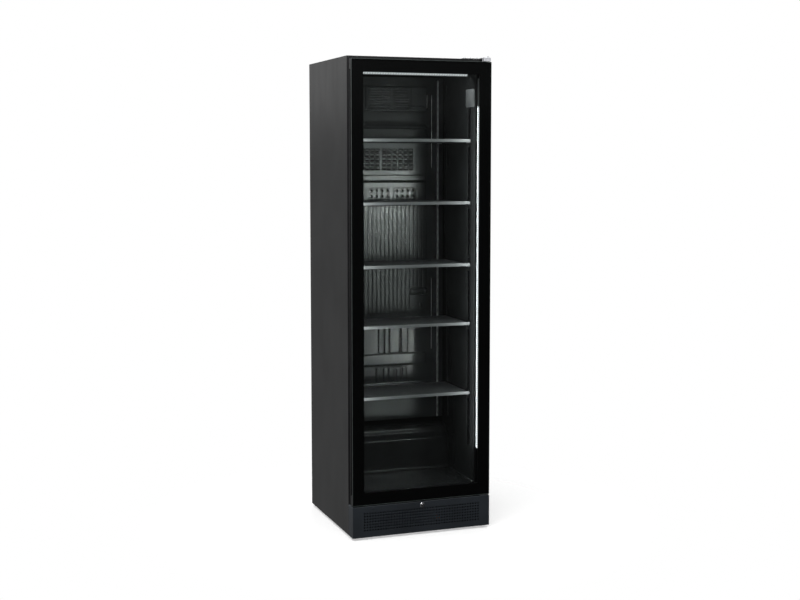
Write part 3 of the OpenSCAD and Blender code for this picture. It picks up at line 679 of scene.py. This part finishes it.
def duct_relief(x, z):
    """Height of the duct moulding above its flat, in millimetres, towards the door."""
    h = 4 * pad(x, z, *SHIELD_FOOT, 16, 14) + 4 * pad(x, z, *SHIELD, 14, 5)
    h = np.maximum(h, 6 * pad(x, z, *SHIELD_LIP, 4, 9))
    h = np.maximum(h, 4.5 * pad(x, z, *VENT_BAND, 5, 4))
    for row in range(SCOOP_ROWS):
        level = SCOOP_LOW + row * SCOOP_PITCH
        for centre in SCOOP_COLUMNS:
            tilt = 0.045 * (z - level)
            h += (3 + tilt) * pad(x, z, centre - 9, centre + 9, level - 4, level + 6, 4.5, 2.5)
            h -= 6 * pad(x, z, centre - 8.5, centre + 8.5, level - 7, level - 4.5, 1.2, 1.5)
    for x0, x1 in VENT_PADS:
        h += 0.8 * pad(x, z, x0, x1, 1353, 1403, 8, 1.6)
    for centre in VENT_COLUMNS:
        for level in VENT_LEVELS:
            h -= 8 * dot(x, z, centre, level, VENT_R, 1.6)
    for column in range(-8, 9):
        rib = 8 + column * RIB_PITCH
        low = RIB_LOW if column < 5 else RIB_LOW_OVER_HANDLE
        h += 1.2 * pad(x, z, rib - RIB_HALF, rib + RIB_HALF, low, RIB_TOP, 7, 2)
    h += 3 * pad(x, z, *HANDLE_RIM, 8, 4) - 3 * pad(x, z, *HANDLE_WELL, 6, 4)
    for x0, x1 in LOWER_CHANNELS:
        h += 4 * pad(x, z, x0, x1, *LOWER_SPAN, 8, 4)
    for x0, x1 in SHORT_CHANNELS:
        h += 3.5 * pad(x, z, x0, x1, *SHORT_SPAN, 6, 3.5)
    h += 3 * pad(x, z, *CROSS_BAND, 10, 10)
    h += 3 * pad(x, z, *FOOT_PATCH, 10, 8)
    for cx, cz in BOSSES:
        h += 3 * dot(x, z, cx, cz, 5, 3) - 2 * dot(x, z, cx, cz, 1.5, 2)
    h -= 5 * dot(x, z, 0, FAN_HOLE_Z, FAN_HOLE_R, 4)
    return h


def lines(*stretches):
    """Grid lines in millimetres, from (start, stop, step) stretches that meet end to end."""
    parts = [np.arange(start, stop - step / 2, step) for start, stop, step in stretches]
    return np.append(np.concatenate(parts), stretches[-1][1])


def relief_sheet(name, us, vs, height, face, back, material, flat=False):
    """A sheet on a grid of lines, raised by height(u, v), with plain edges and back.

    It faces -Y with u = x and v = z, or lies flat and faces up with u = x and v = y.
    """
    gu, gv = np.meshgrid(us, vs)
    raised = height(gu, gv)
    nx, nz = len(us), len(vs)
    if flat:
        front = np.stack([gu, gv, face / MM + raised], -1).reshape(-1, 3) * MM
    else:
        front = np.stack([gu, face / MM - raised, gv], -1).reshape(-1, 3) * MM
    at = np.arange(nx * nz).reshape(nz, nx)
    quads = np.stack([at[:-1, :-1], at[:-1, 1:], at[1:, 1:], at[1:, :-1]], -1).reshape(-1, 4)
    rim = np.concatenate([at[0, :], at[1:, -1], at[-1, -2::-1], at[-2:0:-1, 0]])
    behind = front[rim].copy()
    behind[:, 2 if flat else 1] = back
    first = nx * nz
    count = len(rim)
    faces = [tuple(q) for q in quads.tolist()]
    for i in range(count):
        j = (i + 1) % count
        faces.append((int(rim[i]), first + i, first + j, int(rim[j])))
    faces.append(tuple(range(first, first + count)))
    return plain_mesh(name, np.concatenate([front, behind]), faces, material, 80)


def duct_moulding():
    """The rear panel, on a grid that is fine where its relief is."""
    zs = lines((398, 404, 2), (404, 548, 12), (548, 700, 2.2), (700, 816, 9), (816, 842, 2.2),
               (842, 872, 1.8), (872, 936, 9), (936, 972, 2), (972, 1316, 14), (1316, 1480, 1.7),
               (1480, 1576, 1.5), (1576, 1652, 9), (1652, 1672, 1.6), (1672, 1724, 9), (1724, 1836, 5),
               (1836, 1872, 9))
    xs = lines((-247, -153.5, 5.5), (-153.5, 169.5, 19 / 12), (169.5, 247, 5.5))
    mesh = relief_sheet("duct_moulded", xs, zs, duct_relief, DUCT_FACE_Y, duct_high.y, DUCT_ABS)
    make_piece("duct_moulded", mesh, "cabinet", ["duct_panel"])


COVER = (-165, 165, 1727, 1832)
LOUVRE_LOW, LOUVRE_ROWS, LOUVRE_PITCH = 1744, 8, 10.5
LOUVRE_COLUMNS = ((-99, -3), (14, 82))


def cover_relief(x, z):
    """The fan cover's face: two columns of louvres, a stepped lower ledge and round edges."""
    h = -6 * (1 - pad(x, z, *COVER, 7, 6))
    h += 2.5 * pad(x, z, -112, 92, 1740, 1830, 5, 4)
    h += 2 * pad(x, z, -104, 84, 1726, 1737, 3, 7)
    h += 2 * pad(x, z, 84, 150, 1740, 1750, 3, 7)
    for row in range(LOUVRE_ROWS):
        level = LOUVRE_LOW + row * LOUVRE_PITCH
        for x0, x1 in LOUVRE_COLUMNS:
            h += 1.6 * pad(x, z, x0, x1, level + 1, level + 7, 2.4, 6)
            h -= 4 * pad(x, z, x0, x1, level - 3.4, level, 1.4, 1.8)
    return h


def fan_cover_moulding():
    x0, x1, z0, z1 = COVER
    zs = lines((z0, 1742, 1.2), (1742, z1, 1.1))
    xs = lines((x0, x1, 1.6))
    face = cover_low.y + 5 * MM
    mesh = relief_sheet("fan_cover_moulded", xs, zs, cover_relief, face, cover_high.y, DUCT_ABS)
    make_piece("fan_cover_moulded", mesh, "cabinet", ["fan_cover"])


DRAIN_X, DRAIN_Y = 47, -171
FLOOR_RIBS = (-200, -130, -60, 110, 180)


def floor_relief(x, y):
    """Shallow ribs and a dished drain round which the sheet ripples."""
    away = np.hypot(x - DRAIN_X, y - DRAIN_Y)
    h = 0.7 * np.cos(away / 13 * 2 * math.pi) * np.exp(-away / 40)
    h -= 2.2 * dot(x, y, DRAIN_X, DRAIN_Y, 16, 12)
    for rib in FLOOR_RIBS:
        h += 1.6 * pad(x, y, rib - 5, rib + 5, -215, 20, 4, 5)
    h += 1.4 * pad(x, y, -236, 236, -238, 38, 14, 7)
    return h


def floor_moulding():
    xs = lines((-246, 246, 2))
    ys = lines((-248, 44, 2))
    face = FLOOR_Z + 0.8 * MM
    mesh = relief_sheet("floor_moulded", xs, ys, floor_relief, face, FLOOR_Z - 0.5 * MM,
                        FINISHES["liner_plastic"], flat=True)
    make_piece("floor_moulded", mesh, "cabinet")


SLOT_H = 14 * MM
SLOT_PITCH = 30 * MM


def channel_mesh(name, origin, across, depth, width, z_span, slot, pitch, material):
    """A slotted support channel: a flat front with slots and two flanges going back along depth."""
    z0, z1 = z_span
    slot_w, slot_h = slot
    across, depth, origin = Vector(across), Vector(depth), Vector(origin)
    steps = [z0]
    low = z0 + 10 * MM
    while low + slot_h < z1 - 10 * MM:
        steps += [low, low + slot_h]
        low += pitch
    steps.append(z1)
    turn = 0.8 * MM
    section = [(-width / 2, 1), (-width / 2, 0.15), (-width / 2 + turn, 0), (-slot_w / 2, 0), (slot_w / 2, 0),
               (width / 2 - turn, 0), (width / 2, 0.15), (width / 2, 1)]
    points, faces = [], []
    for z in steps:
        for u, v in section:
            p = origin + across * u + depth * v
            points.append((p.x, p.y, z))
    n = len(section)
    for k in range(len(steps) - 1):
        for i in range(n - 1):
            in_slot = i == 3 and k % 2
            if in_slot:
                continue
            faces.append((k * n + i, k * n + i + 1, (k + 1) * n + i + 1, (k + 1) * n + i))
    return plain_mesh(name, points, faces, material, 40)


def support_channels():
    """Rear standards in bare zinc and darker front standards on the side walls."""
    rear_x = 221 * MM
    rear_span = (standard_low.z + 70 * MM, standard_high.z)
    side_span = (standard_low.z, 1733 * MM)
    for side, label in ((-1, "left"), (1, "right")):
        name = f"rear_standard_{label}"
        mesh = channel_mesh(name, (side * rear_x, DUCT_FACE_Y - 6 * MM, 0), (1, 0, 0), (0, 5.6 * MM, 0),
                            5.6 * MM, rear_span, (2 * MM, SLOT_H), SLOT_PITCH, STANDARD_ZINC)
        stands_for = ["shelf_standards"] if side < 0 else ()
        thicken(make_piece(name, mesh, "cabinet", stands_for), 0.8 * MM, 0)
        name = f"side_standard_{label}"
        mesh = channel_mesh(name, (side * (INNER_X - 5 * MM), -185 * MM, 0), (0, 1, 0),
                            (side * 4.8 * MM, 0, 0), 16 * MM, side_span, (4 * MM, SLOT_H), SLOT_PITCH,
                            SIDE_CHANNEL)
        thicken(make_piece(name, mesh, "cabinet"), 0.8 * MM, 0)


# Each sensor tube's x and its two ends' heights, in millimetres.
SENSOR_TUBES = ((193, 1488, 1800), (171, 1742, 1800), (193, 700, 1010))


def sensor_tubes():
    """Thin tubes clipped to the duct moulding beside the right-hand standard."""
    y, radius = DUCT_FACE_Y - 2.4 * MM, 1.2 * MM
    turns = [math.radians(30 * i) for i in range(12)]
    lofts = []
    for x, z0, z1 in SENSOR_TUBES:
        loops = []
        for z in (z0, z0 + 0.6, z1 - 0.6, z1):
            r = radius * (0.6 if z in (z0, z1) else 1)
            loops.append([(x * MM + r * math.cos(a), y + r * math.sin(a), z * MM) for a in turns])
        lofts.append(loft(loops))
    mesh = plain_mesh("sensor_tubes", *gathered(lofts), STANDARD_ZINC, 40)
    make_piece("sensor_tubes", mesh, "cabinet")


def label_plate():
    """A blank label on the right-hand wall."""
    y0, y1, z0, z1 = -228 * MM, -136 * MM, 1738 * MM, 1811 * MM
    loops = []
    for inset, x in ((0, INNER_X - 0.05 * MM), (0, INNER_X - 0.35 * MM), (0.4 * MM, INNER_X - 0.5 * MM)):
        flat = outline(y0 + inset, y1 - inset, z0 + inset, z1 - inset, 9 * MM, 0)
        loops.append([(x, y, z) for y, _, z in flat])
    points, faces = loft(loops)
    mesh = plain_mesh("label_plate", points, faces, paper_label("paper_label"), 40)
    make_piece("label_plate", mesh, "cabinet")


# ---- shelves ----

PERFORATION = 8 * MM
HOLE_R = 2.5 * MM
DECK_MARGIN = 10 * MM


def deck_mesh(low, high):
    """One perforated sheet with a plain margin and turned-down edges, about its own origin."""
    width, depth = high.x - low.x, high.y - low.y
    columns = int((width - 2 * DECK_MARGIN) / PERFORATION)
    rows = int((depth - 2 * DECK_MARGIN) / PERFORATION)
    x0, y0 = -columns * PERFORATION / 2, -rows * PERFORATION / 2
    work = bmesh.new()
    half = PERFORATION / 2
    around = [math.radians(45 * i) for i in range(8)]
    square = [(half * round(math.cos(a)), half * round(math.sin(a))) for a in around]
    hole = [(HOLE_R * math.cos(a), HOLE_R * math.sin(a)) for a in around]
    for i in range(columns):
        for j in range(rows):
            cx, cy = x0 + (i + 0.5) * PERFORATION, y0 + (j + 0.5) * PERFORATION
            outer = [work.verts.new((cx + x, cy + y, 0)) for x, y in square]
            inner = [work.verts.new((cx + x, cy + y, 0)) for x, y in hole]
            for k in range(8):
                m = (k + 1) % 8
                work.faces.new((outer[k], outer[m], inner[m], inner[k]))
    drop = high.z - low.z
    ways = [(-1, -1), (1, -1), (1, 1), (-1, 1)]
    ring = [(-x0 * i, -y0 * j) for i, j in ways]
    edge = [(width / 2 * i, depth / 2 * j) for i, j in ways]
    turn = 1 * MM
    levels = [(ring, 0), ([(x - math.copysign(turn, x), y - math.copysign(turn, y)) for x, y in edge], 0),
              (edge, -turn), (edge, -drop)]
    loops = [[work.verts.new((x, y, z)) for x, y in loop] for loop, z in levels]
    for a, b in zip(loops, loops[1:]):
        for i in range(4):
            behind_rail = b is loops[3] and i == 0
            if behind_rail:
                continue
            j = (i + 1) % 4
            work.faces.new((a[i], b[i], b[j], a[j]))
    bmesh.ops.remove_doubles(work, verts=work.verts, dist=SAME_POINT)
    bmesh.ops.recalc_face_normals(work, faces=work.faces)
    mesh = bpy.data.meshes.new("deck_perforated")
    work.to_mesh(mesh)
    work.free()
    finish_mesh(mesh, FINISHES["shelf_steel"], 35)
    return mesh


def shelf_decks():
    low, high = corners("shelf_1_deck")
    mesh = deck_mesh(low, high)
    for number in range(1, 6):
        low, high = corners(f"shelf_{number}_deck")
        piece = bpy.data.objects.new(f"shelf_{number}_perforated", mesh)
        bpy.context.scene.collection.objects.link(piece)
        piece.location = ((low.x + high.x) / 2, (low.y + high.y) / 2, high.z)
        thicken(piece, 1.1 * MM)
        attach(piece, f"shelf_{number}")
        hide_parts(f"shelf_{number}_deck")


# ---- base grille ----

GRILLE_PITCH = 11.5 * MM
GRILLE_HOLE_R = 3.7 * MM
GRILLE_COLUMNS, GRILLE_ROWS = 44, 7
GRILLE_FIRST_Z = 38 * MM
LOCK_Z = 121 * MM
LOCK_HOLE_R = 8.6 * MM
# The slot's two x limits, and its front and back behind the grille's face.
CAM_SLOT = (-34 * MM, 12 * MM, 16 * MM, 26 * MM)


def filled_face(work, loops, facing):
    """Fills a flat outline round its holes, facing the given way."""
    edges = []
    for loop in loops:
        made = [work.verts.new(p) for p in loop]
        edges += [work.edges.new((a, b)) for a, b in zip(made, made[1:] + made[:1])]
    filled = bmesh.ops.triangle_fill(work, use_beauty=True, edges=edges, normal=facing)
    for item in filled["geom"]:
        if isinstance(item, bmesh.types.BMFace):
            item.normal_update()
            if item.normal.dot(Vector(facing)) < 0:
                item.normal_flip()


def grille_sheet():
    """The base grille: a folded sheet with round holes, the lock's hole and a slot above for its cam."""
    low, high = grille_low, grille_high
    front = [[(low.x, low.y, low.z), (high.x, low.y, low.z), (high.x, low.y, high.z), (low.x, low.y, high.z)]]
    first_x = -(GRILLE_COLUMNS - 1) / 2 * GRILLE_PITCH
    holes = [(first_x + i * GRILLE_PITCH, GRILLE_FIRST_Z + j * GRILLE_PITCH, GRILLE_HOLE_R, 12)
             for i in range(GRILLE_COLUMNS) for j in range(GRILLE_ROWS)]
    for x, z, radius, count in holes + [(0, LOCK_Z, LOCK_HOLE_R, 32)]:
        turns = [2 * math.pi * (k + 0.5) / count for k in range(count)]
        front.append([(x + radius * math.cos(a), low.y, z + radius * math.sin(a)) for a in turns])
    x0, x1, back0, back1 = CAM_SLOT
    y0, y1 = low.y + back0, low.y + back1
    top = [[(a, c, high.z), (b, c, high.z), (b, d, high.z), (a, d, high.z)]
           for a, b, c, d in ((low.x, high.x, low.y, high.y), (x0, x1, y0, y1))]
    work = bmesh.new()
    filled_face(work, front, (0, -1, 0))
    filled_face(work, top, (0, 0, 1))
    for x, way in ((low.x, -1), (high.x, 1)):
        side = [(x, low.y, low.z), (x, high.y, low.z), (x, high.y, high.z), (x, low.y, high.z)]
        filled_face(work, [side], (way, 0, 0))
    bmesh.ops.remove_doubles(work, verts=work.verts, dist=SAME_POINT)
    mesh = bpy.data.meshes.new("grille_perforated")
    work.to_mesh(mesh)
    work.free()
    finish_mesh(mesh, FINISHES["grille_steel"], 35)
    mesh.polygons.foreach_set("use_smooth", [False] * len(mesh.polygons))
    piece = make_piece("grille_perforated", mesh, "cabinet", ["base_grille"])
    round_edges(piece, 1 * MM, 3)
    thicken(piece, 1 * MM)


# ---- fixings ----


def screw_points(x, z, face_y, radius, out):
    """A pan head with a cross recess, facing out along Y, as points on rings from the middle."""
    rings, around = 9, 32
    loops = []
    for ring in range(1, rings + 1):
        share = ring / rings
        loop = []
        for i in range(around):
            a = 2 * math.pi * i / around
            u, v = radius * share * math.cos(a), radius * share * math.sin(a)
            dome = 1.5 * MM * math.sqrt(max(0.0, 1 - (0.94 * share) ** 2))
            arm = 0.16 * radius
            reach = 0.62 * radius
            recess = (abs(u) < arm and abs(v) < reach) or (abs(v) < arm and abs(u) < reach)
            loop.append((x + u, face_y + out * (dome - (0.9 * MM if recess else 0)), z + v))
        loops.append(loop)
    loops.append([(px, face_y - out * 0.3 * MM, pz) for px, _, pz in loops[-1]])
    return loops


def screw_set(name, spots, radius, out, slot, stands_for=()):
    """Cross-recess screws at (x, y, z), gathered in one piece."""
    heads = [loft(screw_points(x, z, y, radius, out)) for x, y, z in spots]
    mesh = plain_mesh(name, *gathered(heads), FINISHES[slot], 35)
    make_piece(name, mesh, "cabinet", stands_for)


REAR_SCREW_X = 289.5 * MM
REAR_SCREW_LEVELS = (30, 285, 340, 860, 1380, 1900)
FRONT_SCREW_XS = (-210, 213)
FRONT_SCREW_Z = 127 * MM


def casing_screws():
    """Bright screws in the back panel and rear grille, painted ones in the base grille."""
    rear_y = cad_high.y - 1.5 * MM
    rear = [(side * REAR_SCREW_X, rear_y, z * MM) for z in REAR_SCREW_LEVELS for side in (-1, 1)]
    screw_set("casing_screws_rear", rear, 4.5 * MM, 1, "zinc_steel", ["casing_screws"])
    front = [(x * MM, grille_low.y, FRONT_SCREW_Z) for x in FRONT_SCREW_XS]
    screw_set("casing_screws_front", front, 4.8 * MM, -1, "grille_steel")


# ---- carried-over nodes ----


def finish_nodes():
    """Gives each carried-over node the finish that is named after its slot, or one of its own."""
    for node in NODES.values():
        for holder in node.material_slots:
            if holder.material and holder.material.name in FINISHES:
                holder.material = FINISHES[holder.material.name]
    NODES["top_light_lens"].material_slots[0].material = TOP_LENS
    NODES["top_hinge_plate"].material_slots[0].material = HINGE_PLATE
    # Painted shade: the frame and rail seen through the base grille get the near-black zinc, so the grille's
    # holes read dark.
    for name in ("base_frame", "front_rail"):
        NODES[name].material_slots[0].material = FRAME_ZINC_DARKENED_AS_SHADE


def soften_nodes():
    for name, width in (("left_side_panel", 0.7), ("right_side_panel", 0.7), ("top_panel", 0.7),
                        ("door_frame", 0.8), ("top_hinge_plate", 1.0), ("top_hinge_bolts", 0.5),
                        ("bottom_hinge", 0.5), ("front_collar", 1.0), ("door_light_housing", 0.6),
                        ("top_light_housing", 0.6), ("lock_barrel", 0.3), ("control_box", 2.0),
                        ("shelf_clips", 0.4), ("left_roller", 1.5), ("right_roller", 1.5),
                        ("left_foot", 1.0), ("right_foot", 1.0), ("drip_tray", 0.6)):
        soften(name, width * MM)


# ---- stage ----


def make_floor():
    """A floor that only the camera sees, so it throws no light on the object."""
    mesh = bpy.data.meshes.new("stage_floor")
    reach = 9.0
    mesh.from_pydata([(-reach, -reach, 0), (reach, -reach, 0), (reach, reach, 0), (-reach, reach, 0)], [],
                     [(0, 1, 2, 3)])
    mesh.materials.append(stage_floor("stage_floor"))
    floor = bpy.data.objects.new("stage_floor", mesh)
    bpy.context.scene.collection.objects.link(floor)
    floor.visible_glossy = False
    floor.visible_diffuse = False
    floor.visible_shadow = False


def linked(name, pieces, state):
    """A light-linking collection that includes or excludes the given pieces."""
    group = bpy.data.collections.new(name)
    for piece in pieces:
        group.objects.link(piece)
    for entry in group.collection_objects:
        entry.light_linking.link_state = state
    return group


def soft_light(name, place_at, aim_at, width, height, watts, only_for=None, not_for=None):
    """A rectangular light, for all pieces or only some."""
    data = bpy.data.lights.new(name, "AREA")
    data.shape = "RECTANGLE"
    data.size = width
    data.size_y = height
    data.energy = watts
    light = bpy.data.objects.new(name, data)
    light.location = place_at
    light.rotation_euler = (Vector(aim_at) - Vector(place_at)).to_track_quat("-Z", "Y").to_euler()
    bpy.context.scene.collection.objects.link(light)
    if only_for:
        light.light_linking.receiver_collection = linked(name + "_receivers", only_for, "INCLUDE")
    if not_for:
        light.light_linking.receiver_collection = linked(name + "_left_out", not_for, "EXCLUDE")
    return light


def make_world():
    """Soft surround: pale above eye height, dim below it and at the front right, white to the camera."""
    world = bpy.data.worlds.new("studio")
    world.use_nodes = True
    tree = world.node_tree
    back = tree.nodes["Background"]
    way = add(tree, "TexCoord").outputs["Generated"]
    up = part(way, "Z")
    sky = calc("ADD", spread(up, 0.15, 0.4, 0.02, 0.045), spread(up, 0, 0.5, 0.15, 0.6))
    front = add(tree, "VectorMath", {0: way, 1: (0.34, -0.94, 0.0)}, operation="DOT_PRODUCT").outputs["Value"]
    flag = spread(front, 1.0, 0.16, 0.1, 0.6)
    tone = calc("MULTIPLY", sky, flag)
    seen = add(tree, "LightPath").outputs["Is Camera Ray"]
    level = blend(seen, add(tree, "CombineXYZ", {0: tone, 1: tone, 2: tone}).outputs[0], (1, 1, 1))
    link(tree, back.inputs["Color"], level)
    back.inputs["Strength"].default_value = 1.0
    bpy.context.scene.world = world


def strip_light(name, place_at, aim_at, length, upright, watts, body):
    """A narrow light inside the cabinet that moves with its body and isn't seen itself."""
    light = soft_light(name, place_at, aim_at, length, 8 * MM, watts)
    if upright:
        aim = Vector(aim_at) - Vector(place_at)
        light.rotation_euler = aim.to_track_quat("-Z", "X").to_euler()
    light.visible_camera = False
    light.visible_glossy = False
    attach(light, body)


CARD_Y = -3.0
CARD_WATTS_A_METRE = 42
# Height above the floor in metres, and the graded card's brightness there.
CARD_LEVELS = ((0.44, 0.08), (0.8, 0.1), (1.0, 0.115), (1.17, 0.2), (1.2, 0.9), (1.3, 1.5), (1.33, 0.3),
               (1.38, 0.16), (1.43, 0.3), (1.55, 0.28), (1.58, 0.02))


def card(name, x, z, width, height, watts, receivers):
    """A card in front of the cabinet, square to it, that only its receivers reflect."""
    return soft_light(name, (x, CARD_Y, z), (x, 0, z), width, height, watts, receivers)


def graded_card(receivers):
    """A tall card seen only as its reflection in the rear mouldings, brightest near its upper end."""
    low, high = CARD_LEVELS[0][0], CARD_LEVELS[-1][0]
    middle, height = (low + high) / 2, high - low
    made = card("rear_card", 1.06, middle, 0.42, height, CARD_WATTS_A_METRE * height, receivers)
    made.data.use_nodes = True
    tree = made.data.node_tree
    where = add(tree, "NewGeometry").outputs["Position"]
    ramp = add(tree, "ValToRGB", {0: spread(part(where, "Z"), 0, 1, low, high)})
    stops = ramp.color_ramp.elements
    while len(stops) < len(CARD_LEVELS):
        stops.new(0.5)
    for stop, (level_z, level) in zip(stops, CARD_LEVELS):
        stop.position = (level_z - low) / height
        stop.color = (level / 2, level / 2, level / 2, 1)
    tone = calc("MULTIPLY", ramp.outputs[0], 2)
    link(tree, tree.nodes["Emission"].inputs["Strength"], tone)


def edge_light(name, place_at, aim_at, size, watts, receivers):
    """Draws bright lines along rounded edges; nothing casts a shadow in it."""
    light = soft_light(name, place_at, aim_at, size, size, watts, receivers)
    light.light_linking.blocker_collection = bpy.data.collections.new(name + "_blockers")
    light.visible_camera = False


def light_stage():
    """Two soft boxes for the whole object, cards and edge lights for the mouldings, and its own strips."""
    make_world()
    rear = [bpy.data.objects[n] for n in ("duct_moulded", "fan_cover_moulded")]
    low = [bpy.data.objects[n] for n in ("liner_moulded", "floor_moulded")]
    body_middle = (0, 0, 0.6)
    soft_light("top_box", (-1.2, -1.6, 4.2), body_middle, 3.2, 3.2, 210, not_for=rear)
    soft_light("back_box", (1.6, 3.2, 3.0), body_middle, 2.4, 2.4, 90, not_for=rear)
    graded_card(rear)
    card("card_foot", 1.165, 0.26, 0.18, 0.17, 3.6, rear)
    card("card_floor", 1.08, -0.12, 0.35, 0.4, 1.3, rear)
    card("card_spot", 1.14, -0.15, 0.08, 0.2, 0.6, rear)
    edge_light("rear_edges", (1.0, -2.0, 3.1), (0, 0.1, 1.4), 0.8, 5, rear)
    edge_light("rib_edges", (-0.9, -3.0, 1.0), (0, 0.1, 1.1), 0.35, 8, rear)
    edge_light("low_edges", (1.0, -2.4, 1.7), (0, 0.05, 0.3), 0.6, 9, low)
    edge_light("step_edges", (1.15, -1.2, 3.2), (0, 0.05, 0.3), 0.6, 45, low)
    edge_light("floor_shine", (0.68, 1.1, 1.65), (0.05, -0.17, 0.18), 0.3, 9, low)
    strip_light("top_strip", (0, -0.207, 1.858), (0, 0.05, 1.2), 0.45, False, 0.34, "cabinet")
    for side, label in ((-1, "left"), (1, "right")):
        at, aim = (side * 0.2495, -0.264, 1.035), (side * 0.1, -0.1, 1.035)
        strip_light("door_strip_" + label, at, aim, 1.4, True, 1.15, "door")


finish_nodes()
soften_nodes()
door_pane()
door_print()
door_bellows()
liner_shell()
floor_moulding()
duct_moulding()
fan_cover_moulding()
support_channels()
sensor_tubes()
label_plate()
shelf_decks()
grille_sheet()
casing_screws()
make_floor()
light_stage()
